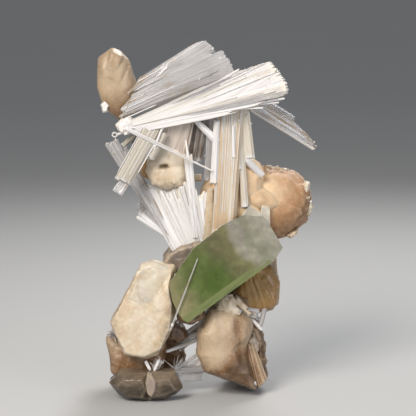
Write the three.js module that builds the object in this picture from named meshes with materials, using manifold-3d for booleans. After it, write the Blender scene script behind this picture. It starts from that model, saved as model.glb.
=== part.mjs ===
// A cluster of apophyllite, stilbite and scolecite crystals, standing on its own crystals.
// Millimetres, +Z up, X to the right along the face that shows best, Y away from it.
// Every crystal is a convex body given by its corners. A piece is the crystals of one mineral that
// have grown into each other, and pieces that meet keep a hair's breadth between them.
import * as THREE from "three";
import { ConvexGeometry } from "three/addons/geometries/ConvexGeometry.js";
import { mergeVertices } from "three/addons/utils/BufferGeometryUtils.js";
import Module from "manifold-3d";

const wasm = await Module();
wasm.setup();

// ---- Driving dimensions ------------------------------------------------------------------------

const SEAT_GAP = 0.3; // between two pieces that have grown against each other
const CENTRE = [0.1, 2.7]; // middle of the footprint, which becomes the origin in X and Y
const FLOOR_BLOCK = 200; // side of the block that cuts the resting facets at Z = 0

const FRONT = [0, -1, 0]; // the side that shows best

const MAIN_BLADE_THICK = 3.6;
const UPPER_BLADE_THICK = 3.4;
const UPRIGHT_BLADE_THICK = 3.0;
const SPIKE_THICK = 3.6;
const SPRAY_NEEDLE_THICK = 1.8;
const LONG_NEEDLE = 0.9;
const HAIR_NEEDLE = 0.7;
const ROD = 2.0;
const FINEST_BLADE = 0.9; // least width of a blade in a fan

// ---- Materials ---------------------------------------------------------------------------------

function mineral(color, roughness, opacity = 1) {
  return new THREE.MeshStandardMaterial({
    color,
    roughness,
    metalness: 0,
    opacity,
    transparent: opacity < 1,
    flatShading: true,
  });
}

const silkyScolecite = mineral(0xf1eeea, 0.45);
const clearScolecite = mineral(0xd9d6da, 0.3, 0.8);
const peachStilbite = mineral(0xe9bd92, 0.5);
const creamStilbite = mineral(0xe6cba6, 0.5);
const amberStilbite = mineral(0xc79f66, 0.45);
const greyStilbite = mineral(0xbfb0a8, 0.45);
const smokyStilbite = mineral(0x9c8a7c, 0.35, 0.85);
const greenApophyllite = mineral(0x6f9d62, 0.15, 0.85);
const paleApophyllite = mineral(0xc4d0c0, 0.2, 0.85);

// ---- Small helpers -----------------------------------------------------------------------------

const vec = (p) => (p.isVector3 ? p.clone() : new THREE.Vector3(...p));
const pair = (value) => (Array.isArray(value) ? value : [value, value]);
const mix = (a, b, t) => a + (b - a) * t;

// Park and Miller's generator, so that every run grows the same crystals.
function seeded(seed) {
  let state = seed;
  return () => {
    state = (state * 16807) % 2147483647;
    return state / 2147483647;
  };
}

// ---- Crystals ----------------------------------------------------------------------------------
// Each is a function that gives the corners of a convex body, or with `grow` those of a body whose
// faces stand out by about that much, which cuts its neighbours.

// A blade or needle from root to tip: six-sided, its broad faces turned to `facing`, closed by a
// chisel edge over its last `chisel` millimetres. `wide` and `thick` are one size, or a size at the
// root and one at the tip.
function blade({ root, tip, wide, thick, facing = FRONT, chisel = 1 }) {
  const start = vec(root);
  const axis = vec(tip).sub(start);
  const length = axis.length();
  axis.normalize();
  const normal = vec(facing).addScaledVector(axis, -vec(facing).dot(axis)).normalize();
  const side = axis.clone().cross(normal);
  const [wideRoot, wideTip] = pair(wide);
  const [thickRoot, thickTip] = pair(thick);
  const hexagon = [[-0.5, 0], [-0.27, 0.5], [0.27, 0.5], [0.5, 0], [0.27, -0.5], [-0.27, -0.5]];
  const edge = [[-0.28, 0], [0.28, 0]];
  const sections = [
    { along: 0, outline: hexagon },
    { along: Math.max(0.5, 1 - chisel / length), outline: hexagon },
    { along: 1, outline: edge },
  ];
  return (grow) =>
    sections.flatMap(({ along, outline }) => {
      const w = mix(wideRoot, wideTip, along) + 2.4 * grow;
      const t = mix(thickRoot, thickTip, along) + 2 * grow;
      const reach = along * (length + 3 * grow) - grow;
      const centre = start.clone().addScaledVector(axis, reach);
      return outline.map(([s, n]) =>
        centre.clone().addScaledVector(side, s * w).addScaledVector(normal, n * t));
    });
}

// Blades side by side between a root edge and a tip edge, each edge a smooth curve through its
// points. They widen with the edges, and every second one lies a little deeper, which leaves ridges.
function fan({ roots, tips, count, thick, seed, facing = FRONT, shorten = 0, ridge = 0.5, chisel = 1 }) {
  const random = seeded(seed);
  const rootEdge = new THREE.CatmullRomCurve3(roots.map(vec));
  const tipEdge = new THREE.CatmullRomCurve3(tips.map(vec));
  const spacing = (edge) => edge.getLength() / Math.max(1, count - 1);
  const overlap = 1.5;
  return Array.from({ length: count }, (_, i) => {
    const t = count > 1 ? i / (count - 1) : 0.5;
    const depth = ((i % 2) - 0.5) * ridge + (random() - 0.5) * ridge;
    const shift = vec(facing).multiplyScalar(depth);
    const root = rootEdge.getPoint(t).add(shift);
    const tip = tipEdge.getPoint(t).lerp(rootEdge.getPoint(t), shorten * random()).add(shift);
    const wide = [rootEdge, tipEdge].map((edge) => Math.max(FINEST_BLADE, spacing(edge) * overlap));
    return blade({ root, tip, wide, thick, facing, chisel });
  });
}

// How a tablet's rim turns into its faces: [share of the inset, share of the bevel depth].
const BEVELLED = [[1, 0], [0, 1]];
const ROUNDED = [[1, 0], [0.42, 0.28], [0, 1]];

// A tablet: an outline of [x, z] corners that is whole at mid depth and drawn in by `inset` towards
// its front and back faces. `lean` slopes it: millimetres of depth for each millimetre of X and Z.
function tablet({ outline, front, back, inset, bevel, rim = BEVELLED, lean = [0, 0] }) {
  const midX = outline.reduce((sum, [x]) => sum + x, 0) / outline.length;
  const midZ = outline.reduce((sum, [, z]) => sum + z, 0) / outline.length;
  const ring = (y, drawnIn) =>
    outline.map(([x, z]) => {
      const reach = Math.hypot(x - midX, z - midZ);
      const keep = Math.max(0.2, 1 - drawnIn / reach);
      const dx = (x - midX) * keep;
      const dz = (z - midZ) * keep;
      return new THREE.Vector3(midX + dx, y + lean[0] * dx + lean[1] * dz, midZ + dz);
    });
  return (grow) =>
    rim.flatMap(([insetShare, bevelShare]) => [
      ...ring(front + bevel * bevelShare - grow, inset * insetShare - grow),
      ...ring(back - bevel * bevelShare + grow, inset * insetShare - grow),
    ]);
}

// A crystal given by its corners, face by face.
function corners(...faces) {
  const points = faces.flat().map(vec);
  const box = new THREE.Box3().setFromPoints(points);
  const middle = box.getCenter(new THREE.Vector3());
  const size = box.getSize(new THREE.Vector3());
  return (grow) => {
    const stretch = new THREE.Vector3(3 * grow, 3 * grow, 3 * grow).divide(size).addScalar(1);
    return points.map((p) => p.clone().sub(middle).multiply(stretch).add(middle));
  };
}

// ---- Solids ------------------------------------------------------------------------------------

function toManifold(geometry) {
  geometry.deleteAttribute("normal");
  geometry.deleteAttribute("uv");
  const merged = mergeVertices(geometry, 1e-4);
  return new wasm.Manifold(new wasm.Mesh({
    numProp: 3,
    vertProperties: merged.attributes.position.array,
    triVerts: new Uint32Array(merged.index.array),
  }));
}

// The crystals of one piece as one solid.
const joined = (crystals, grow) =>
  crystals
    .map((crystal) => toManifold(new ConvexGeometry(crystal(grow))))
    .reduce((sum, solid) => sum.add(solid));

// What a cut leaves of a crystal is its one main body.
const mainBody = (solid) =>
  solid.decompose().reduce((best, body) => (body.volume() > best.volume() ? body : best));

function toMesh(name, solid, material) {
  const { vertProperties, triVerts } = solid.getMesh();
  const geometry = new THREE.BufferGeometry();
  geometry.setAttribute("position", new THREE.BufferAttribute(new Float32Array(vertProperties), 3));
  geometry.setIndex(new THREE.BufferAttribute(new Uint32Array(triVerts), 1));
  const mesh = new THREE.Mesh(geometry, material);
  mesh.name = name;
  return mesh;
}

// ---- Apophyllite -------------------------------------------------------------------------------

// A stout tetragonal prism that leans up to the right: a broad face to the front, a narrow one
// below it, and the sloping faces of its blunt pyramid at the right-hand end.
function apophylliteCrystal() {
  const broadFace = [
    [-11.5, -13.5, 36.5], [-7.5, -12.5, 41], [-4, -12, 45.5], [0.5, -11.5, 49], [4.5, -11, 53],
    [9.5, -12, 45.8], [14.5, -12, 43.5], [1, -14.5, 29.5], [-1.5, -15, 27.5], [-5, -15, 24],
    [-8, -15, 26.5], [-9.5, -15, 30.5],
  ];
  const pyramid = [
    [10.5, -6, 55.5], [16, -5, 55], [19.5, -4, 51.5], [22.5, -5, 45.5], [21.5, -6, 43], [19.5, -8, 41.5],
  ];
  const narrowFace = [[-5, -11, 22.6], [-1, -10, 25], [2, -10, 27], [13.5, -8, 35], [20, -5, 40.6]];
  const back = [
    [-9, -2, 38], [-1, 1, 47], [8, 2, 53], [14, 2, 52], [18, 1, 46], [15, 0, 40], [2, 0, 30], [-6, -2, 28],
  ];
  return [corners(broadFace, pyramid, narrowFace, back)];
}

// A pale crystal that peeks out above the green one, and a smaller block beside it.
function apophylliteSmall() {
  return [
    corners([[9, -3, 53.5], [12, -2.5, 57.8], [15, -2, 56.5], [14.5, -3, 53]],
      [[9, 3, 53.5], [12, 3, 57.5], [15, 3, 56.5], [14.5, 3, 52]]),
    corners([[13, -2.6, 52], [14.5, -2.4, 57], [18.4, -2.5, 56], [18.6, -3, 51]],
      [[13, 3.4, 52], [14.5, 3.2, 56.8], [18.2, 3, 55.8], [18.4, 2.5, 51]]),
  ];
}

// ---- Scolecite ---------------------------------------------------------------------------------

// The broad white blade across the front: needles that spread from a knob at the left to a ragged end.
function mainBlade() {
  const lean = [0.1, -1, 0.15];
  return [
    ...fan({
      roots: [[-24, -6, 82.7], [-25.4, -6, 80.6]],
      tips: [[9, -11.1, 97.4], [13.3, -11.5, 99], [17.8, -12, 100.6], [20.6, -12.4, 98.2], [23, -12.8, 95],
        [23.8, -13, 91.8]],
      count: 9, thick: [2.6, MAIN_BLADE_THICK], facing: lean, seed: 11,
      shorten: 0.06, ridge: 0.6, chisel: 0.8,
    }),
    blade({
      root: [-22, -6.5, 80.6], tip: [19.5, -11.5, 89.6],
      wide: [1.6, 2.6], thick: [2, 3], facing: lean,
    }),
    blade({
      root: [-23, -6.2, 80.3], tip: [8, -9.5, 86.4],
      wide: [1.4, 2.2], thick: [2, 2.6], facing: lean,
    }),
    tablet({ outline: [[-27, 81.8], [-25.8, 83.7], [-22.5, 84.2], [-21, 81], [-23, 79.6], [-26, 80]],
      front: -8.2, back: -3.6, inset: 0.9, bevel: 1.2 }),
  ];
}

// The clear grey-white blades behind it, rising to the upper right.
function upperFan() {
  const finish = { thick: UPPER_BLADE_THICK, facing: [-0.1, -1, 0.2], ridge: 0.9, chisel: 2.2 };
  const front = fan({
    roots: [[-20.5, 1.5, 94], [-22.6, 0, 89.2], [-25.2, -2.6, 83.8]],
    tips: [[-3.6, 3, 105.4], [0.6, 3, 105.4], [3.8, 3, 102.8], [7, 3, 100.2], [8.4, 2, 96.6]],
    count: 6, seed: 23, shorten: 0.05, ...finish,
  });
  const behind = fan({
    roots: [[-19.5, 4, 93], [-22, 2.5, 87], [-23, 0.5, 83.5]],
    tips: [[-4.5, 6.5, 103.4], [1.5, 6.5, 102.4], [6, 5.5, 97.5]],
    count: 4, seed: 29, shorten: 0.08, ...finish,
  });
  return [...front, ...behind];
}

// The stout spike that points down to the right from behind the main blade. A shorter crystal ends as
// a bump on its upper edge, and another runs along its lower one.
function rightSpike() {
  const facing = [0.2, -1, 0.3];
  return [
    ...fan({
      roots: [[9.6, -6.4, 92], [8.4, -6.4, 89.2]],
      tips: [[32.6, 1.8, 75.6], [31.8, 1.6, 74.4]],
      count: 3, thick: [SPIKE_THICK, 2.2], facing, seed: 31, shorten: 0.05, ridge: 0.6, chisel: 2.4,
    }),
    blade({
      root: [9, -6.5, 90.4], tip: [32.7, 1.8, 74.4],
      wide: [4.6, 3.4], thick: [4, 2.4], facing, chisel: 5,
    }),
    blade({ root: [11.8, -5.8, 91.8], tip: [25.4, -0.9, 83], wide: 2.2, thick: [3, 2.2], facing }),
    blade({ root: [10.2, -6, 88.6], tip: [28.8, 0.4, 76], wide: [2.2, 1.8], thick: [3, 2.2], facing }),
  ];
}

// Clear upright blades that hang from the main blade over the peach crystals, with white ones at the left.
function uprightBlades() {
  return [
    ...fan({
      roots: [[3.6, -6, 91], [10.2, -5.6, 92]],
      tips: [[1.8, -5.6, 49.5], [7.2, -5.6, 49]],
      count: 5, thick: UPRIGHT_BLADE_THICK, seed: 37, shorten: 0.02, ridge: 0.7,
    }),
    blade({
      root: [10.4, -5.4, 91], tip: [12.2, -3.6, 71.2],
      wide: [2.6, 3.4], thick: [3, 2.4], chisel: 0.8,
    }),
    blade({ root: [9.2, -5.6, 90], tip: [9.4, -5, 68.6], wide: 1.8, thick: 3 }),
    blade({ root: [8.4, -4.6, 86], tip: [11, -3, 57.2], wide: 1.8, thick: 2 }),
    blade({ root: [2.6, -7.4, 83.5], tip: [1.7, -6.8, 64.4], wide: [1.8, 2.4], thick: 2.2 }),
    blade({ root: [-3.6, -6.6, 83.4], tip: [3.2, -7, 76.8], wide: [1.6, 2.2], thick: 2 }),
  ];
}

// Blades that show below the main blade at the left: beige ones on the cream stilbite, dark clear ones
// beside.
function innerBlades() {
  return [
    ...fan({
      roots: [[-11.5, -5.2, 86.6], [-5, -5.6, 87.2]],
      tips: [[-16.2, -2, 73.6], [-13, -2, 73], [-8.6, -2, 72.4]],
      count: 4, thick: 2.6, seed: 41, shorten: 0.06, ridge: 0.6,
    }),
    blade({ root: [-4.6, -5.6, 87.4], tip: [-6.8, -2, 72.4], wide: [2.2, 3], thick: 2.2 }),
    blade({ root: [-1.2, -5.4, 87.6], tip: [-3.8, -2, 70.8], wide: [3, 3.2], thick: 2 }),
    blade({ root: [1.4, -5.2, 88], tip: [-0.2, -3, 65.2], wide: [2.4, 1.9], thick: 2 }),
  ];
}

// The white spray of needles at the left, from its foot behind the green crystal.
function whiteSpray() {
  const foot = [[-10.2, -3.4, 43.4], [-5, -3.6, 45.2], [-0.8, -3.8, 47]];
  return [
    ...fan({
      roots: foot,
      tips: [[-22.4, 1, 65.6], [-19.8, 1, 63.6], [-15, 0, 62.6], [-10.8, -1.4, 62.8], [-6.8, -3.4, 66],
        [-4, -4, 63]],
      count: 10, thick: SPRAY_NEEDLE_THICK, seed: 43, shorten: 0.1, ridge: 0.8,
    }),
    blade({ root: [-9.4, -3, 44], tip: [-28.9, 2, 76.4], wide: [1.8, 3.2], thick: [2, 3] }),
    blade({ root: [-8.4, -2.4, 44.8], tip: [-26.2, 2.2, 74], wide: [1.8, 3], thick: [2, 2.6] }),
    blade({ root: [-8, -3.2, 45.6], tip: [-21.2, -2, 54.2], wide: 1.1, thick: 1.1 }),
    blade({ root: [-8, -2.4, 46.2], tip: [-20.4, 0.6, 57.4], wide: 1.1, thick: 1.1 }),
    blade({ root: [-3.6, -4.4, 48], tip: [-6, -5, 73.6], wide: [2, 2.6], thick: 1.6 }),
    blade({ root: [-4.4, -4.6, 62], tip: [-6.6, -5.2, 77.4], wide: [1.6, 0.9], thick: 1.2, chisel: 4 }),
  ];
}

// The flat cream-white blade in front, down to the left from behind the main blade.
function diagonalBlade() {
  const facing = [-0.2, -1, 0.15];
  return [
    ...fan({
      roots: [[-17.6, -6.2, 84], [-13, -6.2, 81.6]],
      tips: [[-27.4, -10, 66.4], [-23.2, -10, 64.2]],
      count: 3, thick: 2, facing, seed: 47, shorten: 0.02, ridge: 0.3, chisel: 0.8,
    }),
    blade({
      root: [-14.6, -7, 79.5], tip: [-26, -10, 61.6],
      wide: [2, 3.6], thick: 1.6, facing, chisel: 2.4,
    }),
    blade({ root: [-13, -6.2, 80], tip: [-17.6, -7.8, 72.2], wide: 3, thick: 1.8, facing }),
  ];
}

const longNeedle = () => [
  blade({
    root: [-23.6, -8.3, 80.8], tip: [1.3, -8.7, 68.8],
    wide: LONG_NEEDLE, thick: LONG_NEEDLE, chisel: 2,
  }),
];

const hairNeedle = () => [
  blade({
    root: [-11.1, -16.6, 22.5], tip: [-3, -13.3, 43.4],
    wide: HAIR_NEEDLE, thick: HAIR_NEEDLE, chisel: 2,
  }),
];

const shortRod = () => [
  blade({ root: [11, -4.2, 71.8], tip: [16.4, -0.6, 66.2], wide: ROD, thick: ROD }),
];

// Low needles between the clear bow-tie and the right foot.
function lowNeedles() {
  return [
    ...fan({
      roots: [[-14, -5, 7.4], [-14, -5, 4.8]],
      tips: [[-0.6, 1, 7], [-1.6, 1, 4.6]],
      count: 2, thick: 1.6, seed: 53, ridge: 0.5,
    }),
    blade({ root: [-10, -3.6, 7], tip: [-2.6, 1.6, 11.6], wide: 1.1, thick: 1 }),
    blade({ root: [-8.8, -3, 6.4], tip: [-1.8, 1.4, 10.4], wide: 1.1, thick: 1 }),
    blade({ root: [-5, -0.4, 5.6], tip: [-1.4, 1, 10.4], wide: 1.1, thick: 1 }),
  ];
}

// Needles of the dark hollow between the feet.
function hollowNeedles() {
  return [
    blade({ root: [-12.5, -3.4, 13.2], tip: [-2.4, 2.4, 15.8], wide: 1.1, thick: 1 }),
    blade({ root: [-9.4, 2, 13.2], tip: [-2, 3.6, 18.6], wide: 3, thick: 2.2 }),
    blade({ root: [-9, 2.6, 15.6], tip: [-1.8, 3.8, 20.4], wide: 2, thick: 2 }),
  ];
}

// ---- Stilbite ----------------------------------------------------------------------------------

function stilbiteUpperLeft() {
  return [
    tablet({
      outline: [[-28.5, 104.4], [-25.5, 103], [-23.6, 100.6], [-22.6, 97], [-21, 92], [-21, 87], [-23, 83],
        [-26.4, 81.8], [-29.2, 84.6], [-31.6, 87], [-33, 93], [-33, 97.5], [-32.4, 101.2]],
      front: -0.5, back: 9.5, inset: 2.6, bevel: 3, rim: ROUNDED, lean: [0.1, -0.05],
    }),
    tablet({
      outline: [[-31.5, 100.4], [-28.6, 103.6], [-25.4, 102], [-24.6, 97], [-26, 90], [-29, 88], [-32, 92]],
      front: -1.4, back: 8, inset: 1.2, bevel: 1.2, lean: [0.1, -0.12],
    }),
    tablet({ outline: [[-32, 87.4], [-30.8, 88.6], [-29.4, 87.4], [-29.8, 85.4], [-31.4, 85]],
      front: -0.4, back: 5, inset: 0.6, bevel: 0.8 }),
  ];
}

function stilbiteCentre() {
  return [
    tablet({
      outline: [[-18.6, 71.4], [-17, 74], [-13, 75.4], [-8.5, 74.8], [-6, 72.4], [-6.6, 69.4], [-12, 68.6],
        [-17.6, 69]],
      front: -2.2, back: 8, inset: 1.8, bevel: 2.4, rim: ROUNDED, lean: [0, 0.2],
    }),
    tablet({
      outline: [[-19, 67.6], [-16.6, 69.2], [-11.5, 69], [-6, 69.4], [-5.4, 66.4], [-6.4, 63.6],
        [-11.5, 62.4], [-16, 63.2], [-18, 65]],
      front: -4, back: 7, inset: 1.8, bevel: 2.4, rim: ROUNDED,
    }),
    tablet({
      outline: [[-20.6, 68.4], [-19, 71.6], [-16.6, 70.8], [-16, 66], [-17.6, 64], [-19.8, 65.6]],
      front: -1.5, back: 6, inset: 1.4, bevel: 2.4,
    }),
    blade({ root: [-8, 2, 65.4], tip: [-1.8, 2.4, 65.4], wide: 2, thick: 2 }),
  ];
}

function stilbiteRight() {
  return [
    tablet({
      outline: [[-1, 62.5], [1, 66.6], [7.5, 70.4], [13.4, 71.4], [16.6, 68.6], [17.6, 58], [16.5, 47.4],
        [9.5, 46.4], [2, 46.6], [-1, 54]],
      front: -2.6, back: 15, inset: 3.4, bevel: 4.5, rim: ROUNDED, lean: [0.05, 0],
    }),
    tablet({
      outline: [[14, 66], [19, 67.4], [25, 66], [28.4, 63.8], [30.6, 61], [31.8, 55.6], [30, 51], [24.5, 47],
        [20.8, 45.6], [14.4, 46.4], [12, 56]],
      front: 2.6, back: 21.5, inset: 4.2, bevel: 5.5, rim: ROUNDED, lean: [0.12, 0],
    }),
    tablet({
      outline: [[11.5, 61], [15, 63], [19, 62.4], [22.5, 59.4], [22.6, 56], [18.5, 55.2], [14, 56.8]],
      front: -3.2, back: 8, inset: 1.2, bevel: 1.4, lean: [0.25, 0.1],
    }),
    tablet({
      outline: [[16, 55], [22, 55], [28, 58], [29.6, 54], [28, 50.4], [24, 47.8], [18, 47]],
      front: 1.2, back: 12, inset: 1.8, bevel: 2, lean: [0.2, 0.1],
    }),
    blade({
      root: [12, 6, 60], tip: [6, 19, 66],
      wide: [12, 9], thick: [9, 6], facing: [0.3, 0, 1], chisel: 3,
    }),
    blade({
      root: [13, 6, 57], tip: [13.6, 20, 51],
      wide: [12, 9], thick: [9, 6], facing: [-0.2, 0.3, 1], chisel: 3,
    }),
    blade({ root: [28.6, 8, 59.6], tip: [31.2, 7.4, 63.6], wide: 1.8, thick: 1.6 }),
    blade({ root: [26.4, 6, 49.4], tip: [25.4, 4.6, 46], wide: 2.2, thick: 1.8 }),
  ];
}

// A thick tablet, its broad face tilted up above a blunt ridge and its lower face turned under.
function stilbiteFrontLeft() {
  const rim = [
    [-18.6, -9, 42], [-16, -9, 42.2], [-9.6, -9, 41], [-9, -9, 39.4], [-11, -9, 36], [-9.4, -9, 26.8],
    [-10.4, -9, 22], [-13.4, -9, 16], [-15, -9, 13], [-19, -9, 12.4], [-25, -9, 13.4], [-29.4, -9, 23.4],
    [-20.6, -9, 40],
  ];
  const face = [
    [-17.6, -11.6, 40.4], [-11, -11.8, 39.2], [-12, -14, 28], [-12.6, -14.6, 23.4], [-15.2, -14, 17],
    [-19.4, -14, 16], [-23.6, -13.6, 17.6], [-27.6, -13, 24], [-21.4, -12, 37.6],
  ];
  const back = [
    [-18, -4, 39.6], [-12, -4, 37.6], [-12, -3, 25], [-15.6, -3, 16], [-24, -3, 16.4], [-27.4, -3.4, 24],
  ];
  return [
    corners(rim, face, back),
    tablet({ outline: [[-20, 41], [-16.4, 41.8], [-11.6, 40.6], [-11.6, 31], [-20, 28.6], [-24, 31]],
      front: -12.4, back: -5, inset: 1, bevel: 0.9, lean: [0, 0.14] }),
  ];
}

function stilbiteBackLeft() {
  return [
    tablet({
      outline: [[-31, 16.6], [-30, 11], [-29, 6.5], [-27.4, 4], [-20, 2.6], [-13.5, 5.6], [-12.6, 15],
        [-18, 21], [-27, 21]],
      front: -5, back: 9, inset: 2.4, bevel: 3, rim: ROUNDED, lean: [0.05, 0.1],
    }),
    blade({
      root: [-20, 0, 14], tip: [-22, 19, -1.4],
      wide: [13, 9], thick: [12, 8], facing: [0.3, -1, -0.6], chisel: 4,
    }),
    blade({
      root: [-22, 1, 11], tip: [-27.6, 15, 15.4],
      wide: [10, 7], thick: [8, 5], facing: [1, 0, 0.5], chisel: 3,
    }),
    tablet({
      outline: [[-16, 17], [-17, 7], [-12, 4], [-7, 8], [-8, 15], [-11, 19]],
      front: 1.5, back: 13, inset: 2, bevel: 3,
    }),
  ];
}

// The clear bow-tie: two wedges that spread from a narrow middle, with a small prism in front of it.
function stilbiteBowTie() {
  return [
    tablet({
      outline: [[-29.6, 5.4], [-26, 8.6], [-18, 8.2], [-16, 4], [-18, -1], [-24.4, -1], [-27.6, 2]],
      front: -14, back: -2, inset: 1.8, bevel: 4, lean: [-0.1, 0],
    }),
    tablet({
      outline: [[-7.4, 3.6], [-10, 8.6], [-18, 8.2], [-20, 4], [-18, -1], [-12.4, -1]],
      front: -14, back: -2, inset: 1.8, bevel: 4, lean: [0.1, 0],
    }),
    blade({ root: [-16.8, -14, 0.8], tip: [-17.4, -13.6, 10.6], wide: 3.8, thick: 3.4, chisel: 1.8 }),
    blade({ root: [-18.4, -10, 7], tip: [-19.6, -10.6, 11.4], wide: 1.6, thick: 1.4 }),
  ];
}

// The large furrowed sheaf at the lower right, whose tip and hidden heel are the right-hand feet.
function stilbiteLowerRight() {
  return [
    tablet({
      outline: [[0.5, 26.4], [4, 27.6], [8, 27.4], [10.2, 24], [10.8, 18], [10, 12], [12.4, 6.4], [15.4, 3],
        [14.8, 1.4], [12, 1.6], [7, 3.6], [1, 6], [-1.6, 8], [-2.6, 12.5], [-3.4, 18], [-2.6, 21]],
      front: -9, back: 9, inset: 3.2, bevel: 4.5, rim: ROUNDED, lean: [0.15, 0.05],
    }),
    tablet({
      outline: [[11, 24.4], [14.4, 21.4], [15, 17], [14, 12], [16.8, 8], [18.4, 4], [16.4, 1.6], [14.4, -0.6],
        [11, 4], [9, 12], [9.4, 20]],
      front: -3, back: 12, inset: 1.8, bevel: 2.6, rim: ROUNDED, lean: [-0.1, 0.05],
    }),
    blade({
      root: [8, 2, 21], tip: [14, 21, -1.4],
      wide: [13, 10], thick: [12, 8], facing: [-0.4, -1, -0.6], chisel: 4,
    }),
    blade({
      root: [7, 0, 18], tip: [11, 15, 27],
      wide: [12, 8], thick: [10, 6], facing: [1, 0, 0.3], chisel: 3,
    }),
    blade({ root: [9.5, -3, 20], tip: [12, -5.4, 8.6], wide: 2, thick: 2.4, facing: [0.6, -1, 0] }),
    blade({ root: [14, 0, 12], tip: [18, -0.6, 4.4], wide: 2.4, thick: 2.2, facing: [0.6, -1, 0] }),
  ];
}

// The honey-coloured fan behind the lower edge of the green crystal.
function stilbiteAmber() {
  const blades = [[9, 25.4], [13.6, 23.6], [18.6, 24.4], [21.8, 28.6], [21.4, 34.6]];
  return [
    tablet({
      outline: [[7.6, 31], [9.6, 36.5], [15, 39.4], [19.4, 37.8], [21.4, 33], [20.8, 28], [19, 25.6],
        [14.8, 24.4], [9, 26.2]],
      front: -1.5, back: 14, inset: 2.6, bevel: 4, rim: ROUNDED,
    }),
    ...blades.map(([x, z], i) =>
      blade({ root: [11.5, 3, 35.5], tip: [x, 3 + (i % 2), z], wide: [2.4, 4.6], thick: [7, 4.6] })),
    blade({ root: [7, -2.4, 25.6], tip: [9.6, -3.6, 30], wide: 2.4, thick: 2 }),
    blade({ root: [12.4, -3.4, 24.8], tip: [9.4, -3, 27.4], wide: 1.2, thick: 1.2 }),
  ];
}

function stilbiteGrey() {
  return [
    tablet({
      outline: [[-13.6, 41], [-11.6, 43.6], [-8.4, 45.2], [-3.6, 46.8], [2, 48], [5.4, 46.6], [3.4, 40],
        [-2.6, 34.6], [-8.6, 35.6]],
      front: -3, back: 9, inset: 1.8, bevel: 3, rim: ROUNDED, lean: [0, 0.25],
    }),
    blade({ root: [0, 5, 40], tip: [9, 7, 53], wide: [12, 11], thick: [10, 8], chisel: 3 }),
    blade({ root: [0, 5, 42], tip: [5.6, 7.6, 23.6], wide: [12, 10], thick: [10, 8], chisel: 3 }),
    blade({
      root: [-1, 5, 41], tip: [-6, 15, 36],
      wide: [10, 8], thick: [8, 5], facing: [0.5, 0, 1], chisel: 3,
    }),
  ];
}

const stilbiteSmall = () => [
  tablet({ outline: [[-11.6, 19.4], [-8.4, 20.4], [-6.6, 17.6], [-7, 15], [-10, 14.6], [-12, 17]],
    front: -4, back: 5, inset: 0.9, bevel: 1.6 }),
];

// ---- The specimen ------------------------------------------------------------------------------

// In the order in which they had the room: each piece stops short of those before it.
const PIECES = [
  ["apophyllite_crystal", greenApophyllite, apophylliteCrystal()],
  ["stilbite_front_left", creamStilbite, stilbiteFrontLeft()],
  ["scolecite_main_blade", silkyScolecite, mainBlade()],
  ["scolecite_upright_blades", clearScolecite, uprightBlades()],
  ["scolecite_long_needle", silkyScolecite, longNeedle()],
  ["scolecite_diagonal_blade", silkyScolecite, diagonalBlade()],
  ["stilbite_grey", greyStilbite, stilbiteGrey()],
  ["scolecite_white_spray", silkyScolecite, whiteSpray()],
  ["scolecite_hair_needle", silkyScolecite, hairNeedle()],
  ["apophyllite_small", paleApophyllite, apophylliteSmall()],
  ["scolecite_short_rod", silkyScolecite, shortRod()],
  ["stilbite_centre", creamStilbite, stilbiteCentre()],
  ["scolecite_inner_blades", clearScolecite, innerBlades()],
  ["scolecite_right_spike", clearScolecite, rightSpike()],
  ["scolecite_upper_fan", clearScolecite, upperFan()],
  ["stilbite_upper_left", peachStilbite, stilbiteUpperLeft()],
  ["stilbite_right", peachStilbite, stilbiteRight()],
  ["stilbite_clear_bow_tie", smokyStilbite, stilbiteBowTie()],
  ["stilbite_amber", amberStilbite, stilbiteAmber()],
  ["stilbite_lower_right", peachStilbite, stilbiteLowerRight()],
  ["stilbite_back_left", creamStilbite, stilbiteBackLeft()],
  ["stilbite_small", amberStilbite, stilbiteSmall()],
  ["scolecite_low_needles", clearScolecite, lowNeedles()],
  ["scolecite_hollow_needles", clearScolecite, hollowNeedles()],
];

const floorGeometry = new THREE.BoxGeometry(FLOOR_BLOCK, FLOOR_BLOCK, FLOOR_BLOCK);
const floor = toManifold(floorGeometry.translate(0, 0, -FLOOR_BLOCK / 2));

const specimen = new THREE.Group();
specimen.position.set(-CENTRE[0], -CENTRE[1], 0);
let taken = floor;
for (const [name, material, crystals] of PIECES) {
  const solid = mainBody(joined(crystals, 0).subtract(taken));
  specimen.add(toMesh(name, solid, material));
  taken = taken.add(joined(crystals, SEAT_GAP));
}

const cluster = new THREE.Group();
cluster.add(specimen);

export default cluster;
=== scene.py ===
# Crystals of apophyllite, stilbite and scolecite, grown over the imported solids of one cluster.
# The file is laid out as a Blender add-on and run as a script: the sidebar holds its sizes and
# colours, and each operator grows one piece or one group of like pieces. Places and lengths are
# millimetres in the crystals' own working frame, and a mesh is made in metres in the row frame.
import math

import bpy
import numpy as np
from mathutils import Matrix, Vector


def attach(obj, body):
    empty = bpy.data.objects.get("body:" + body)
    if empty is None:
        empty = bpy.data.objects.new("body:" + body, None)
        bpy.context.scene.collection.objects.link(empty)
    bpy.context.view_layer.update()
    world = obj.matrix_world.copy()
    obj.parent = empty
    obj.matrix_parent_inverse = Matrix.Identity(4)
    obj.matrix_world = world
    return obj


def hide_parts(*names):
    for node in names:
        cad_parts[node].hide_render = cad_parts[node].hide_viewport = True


bl_info = {
    "name": "Apophyllite cluster",
    "version": (1, 0, 0),
    "blender": (4, 5, 0),
    "location": "View3D > Sidebar > Cluster",
    "description": "Grows the crystals of a mineral cluster over its packed solids",
    "category": "Add Mesh",
}

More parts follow.
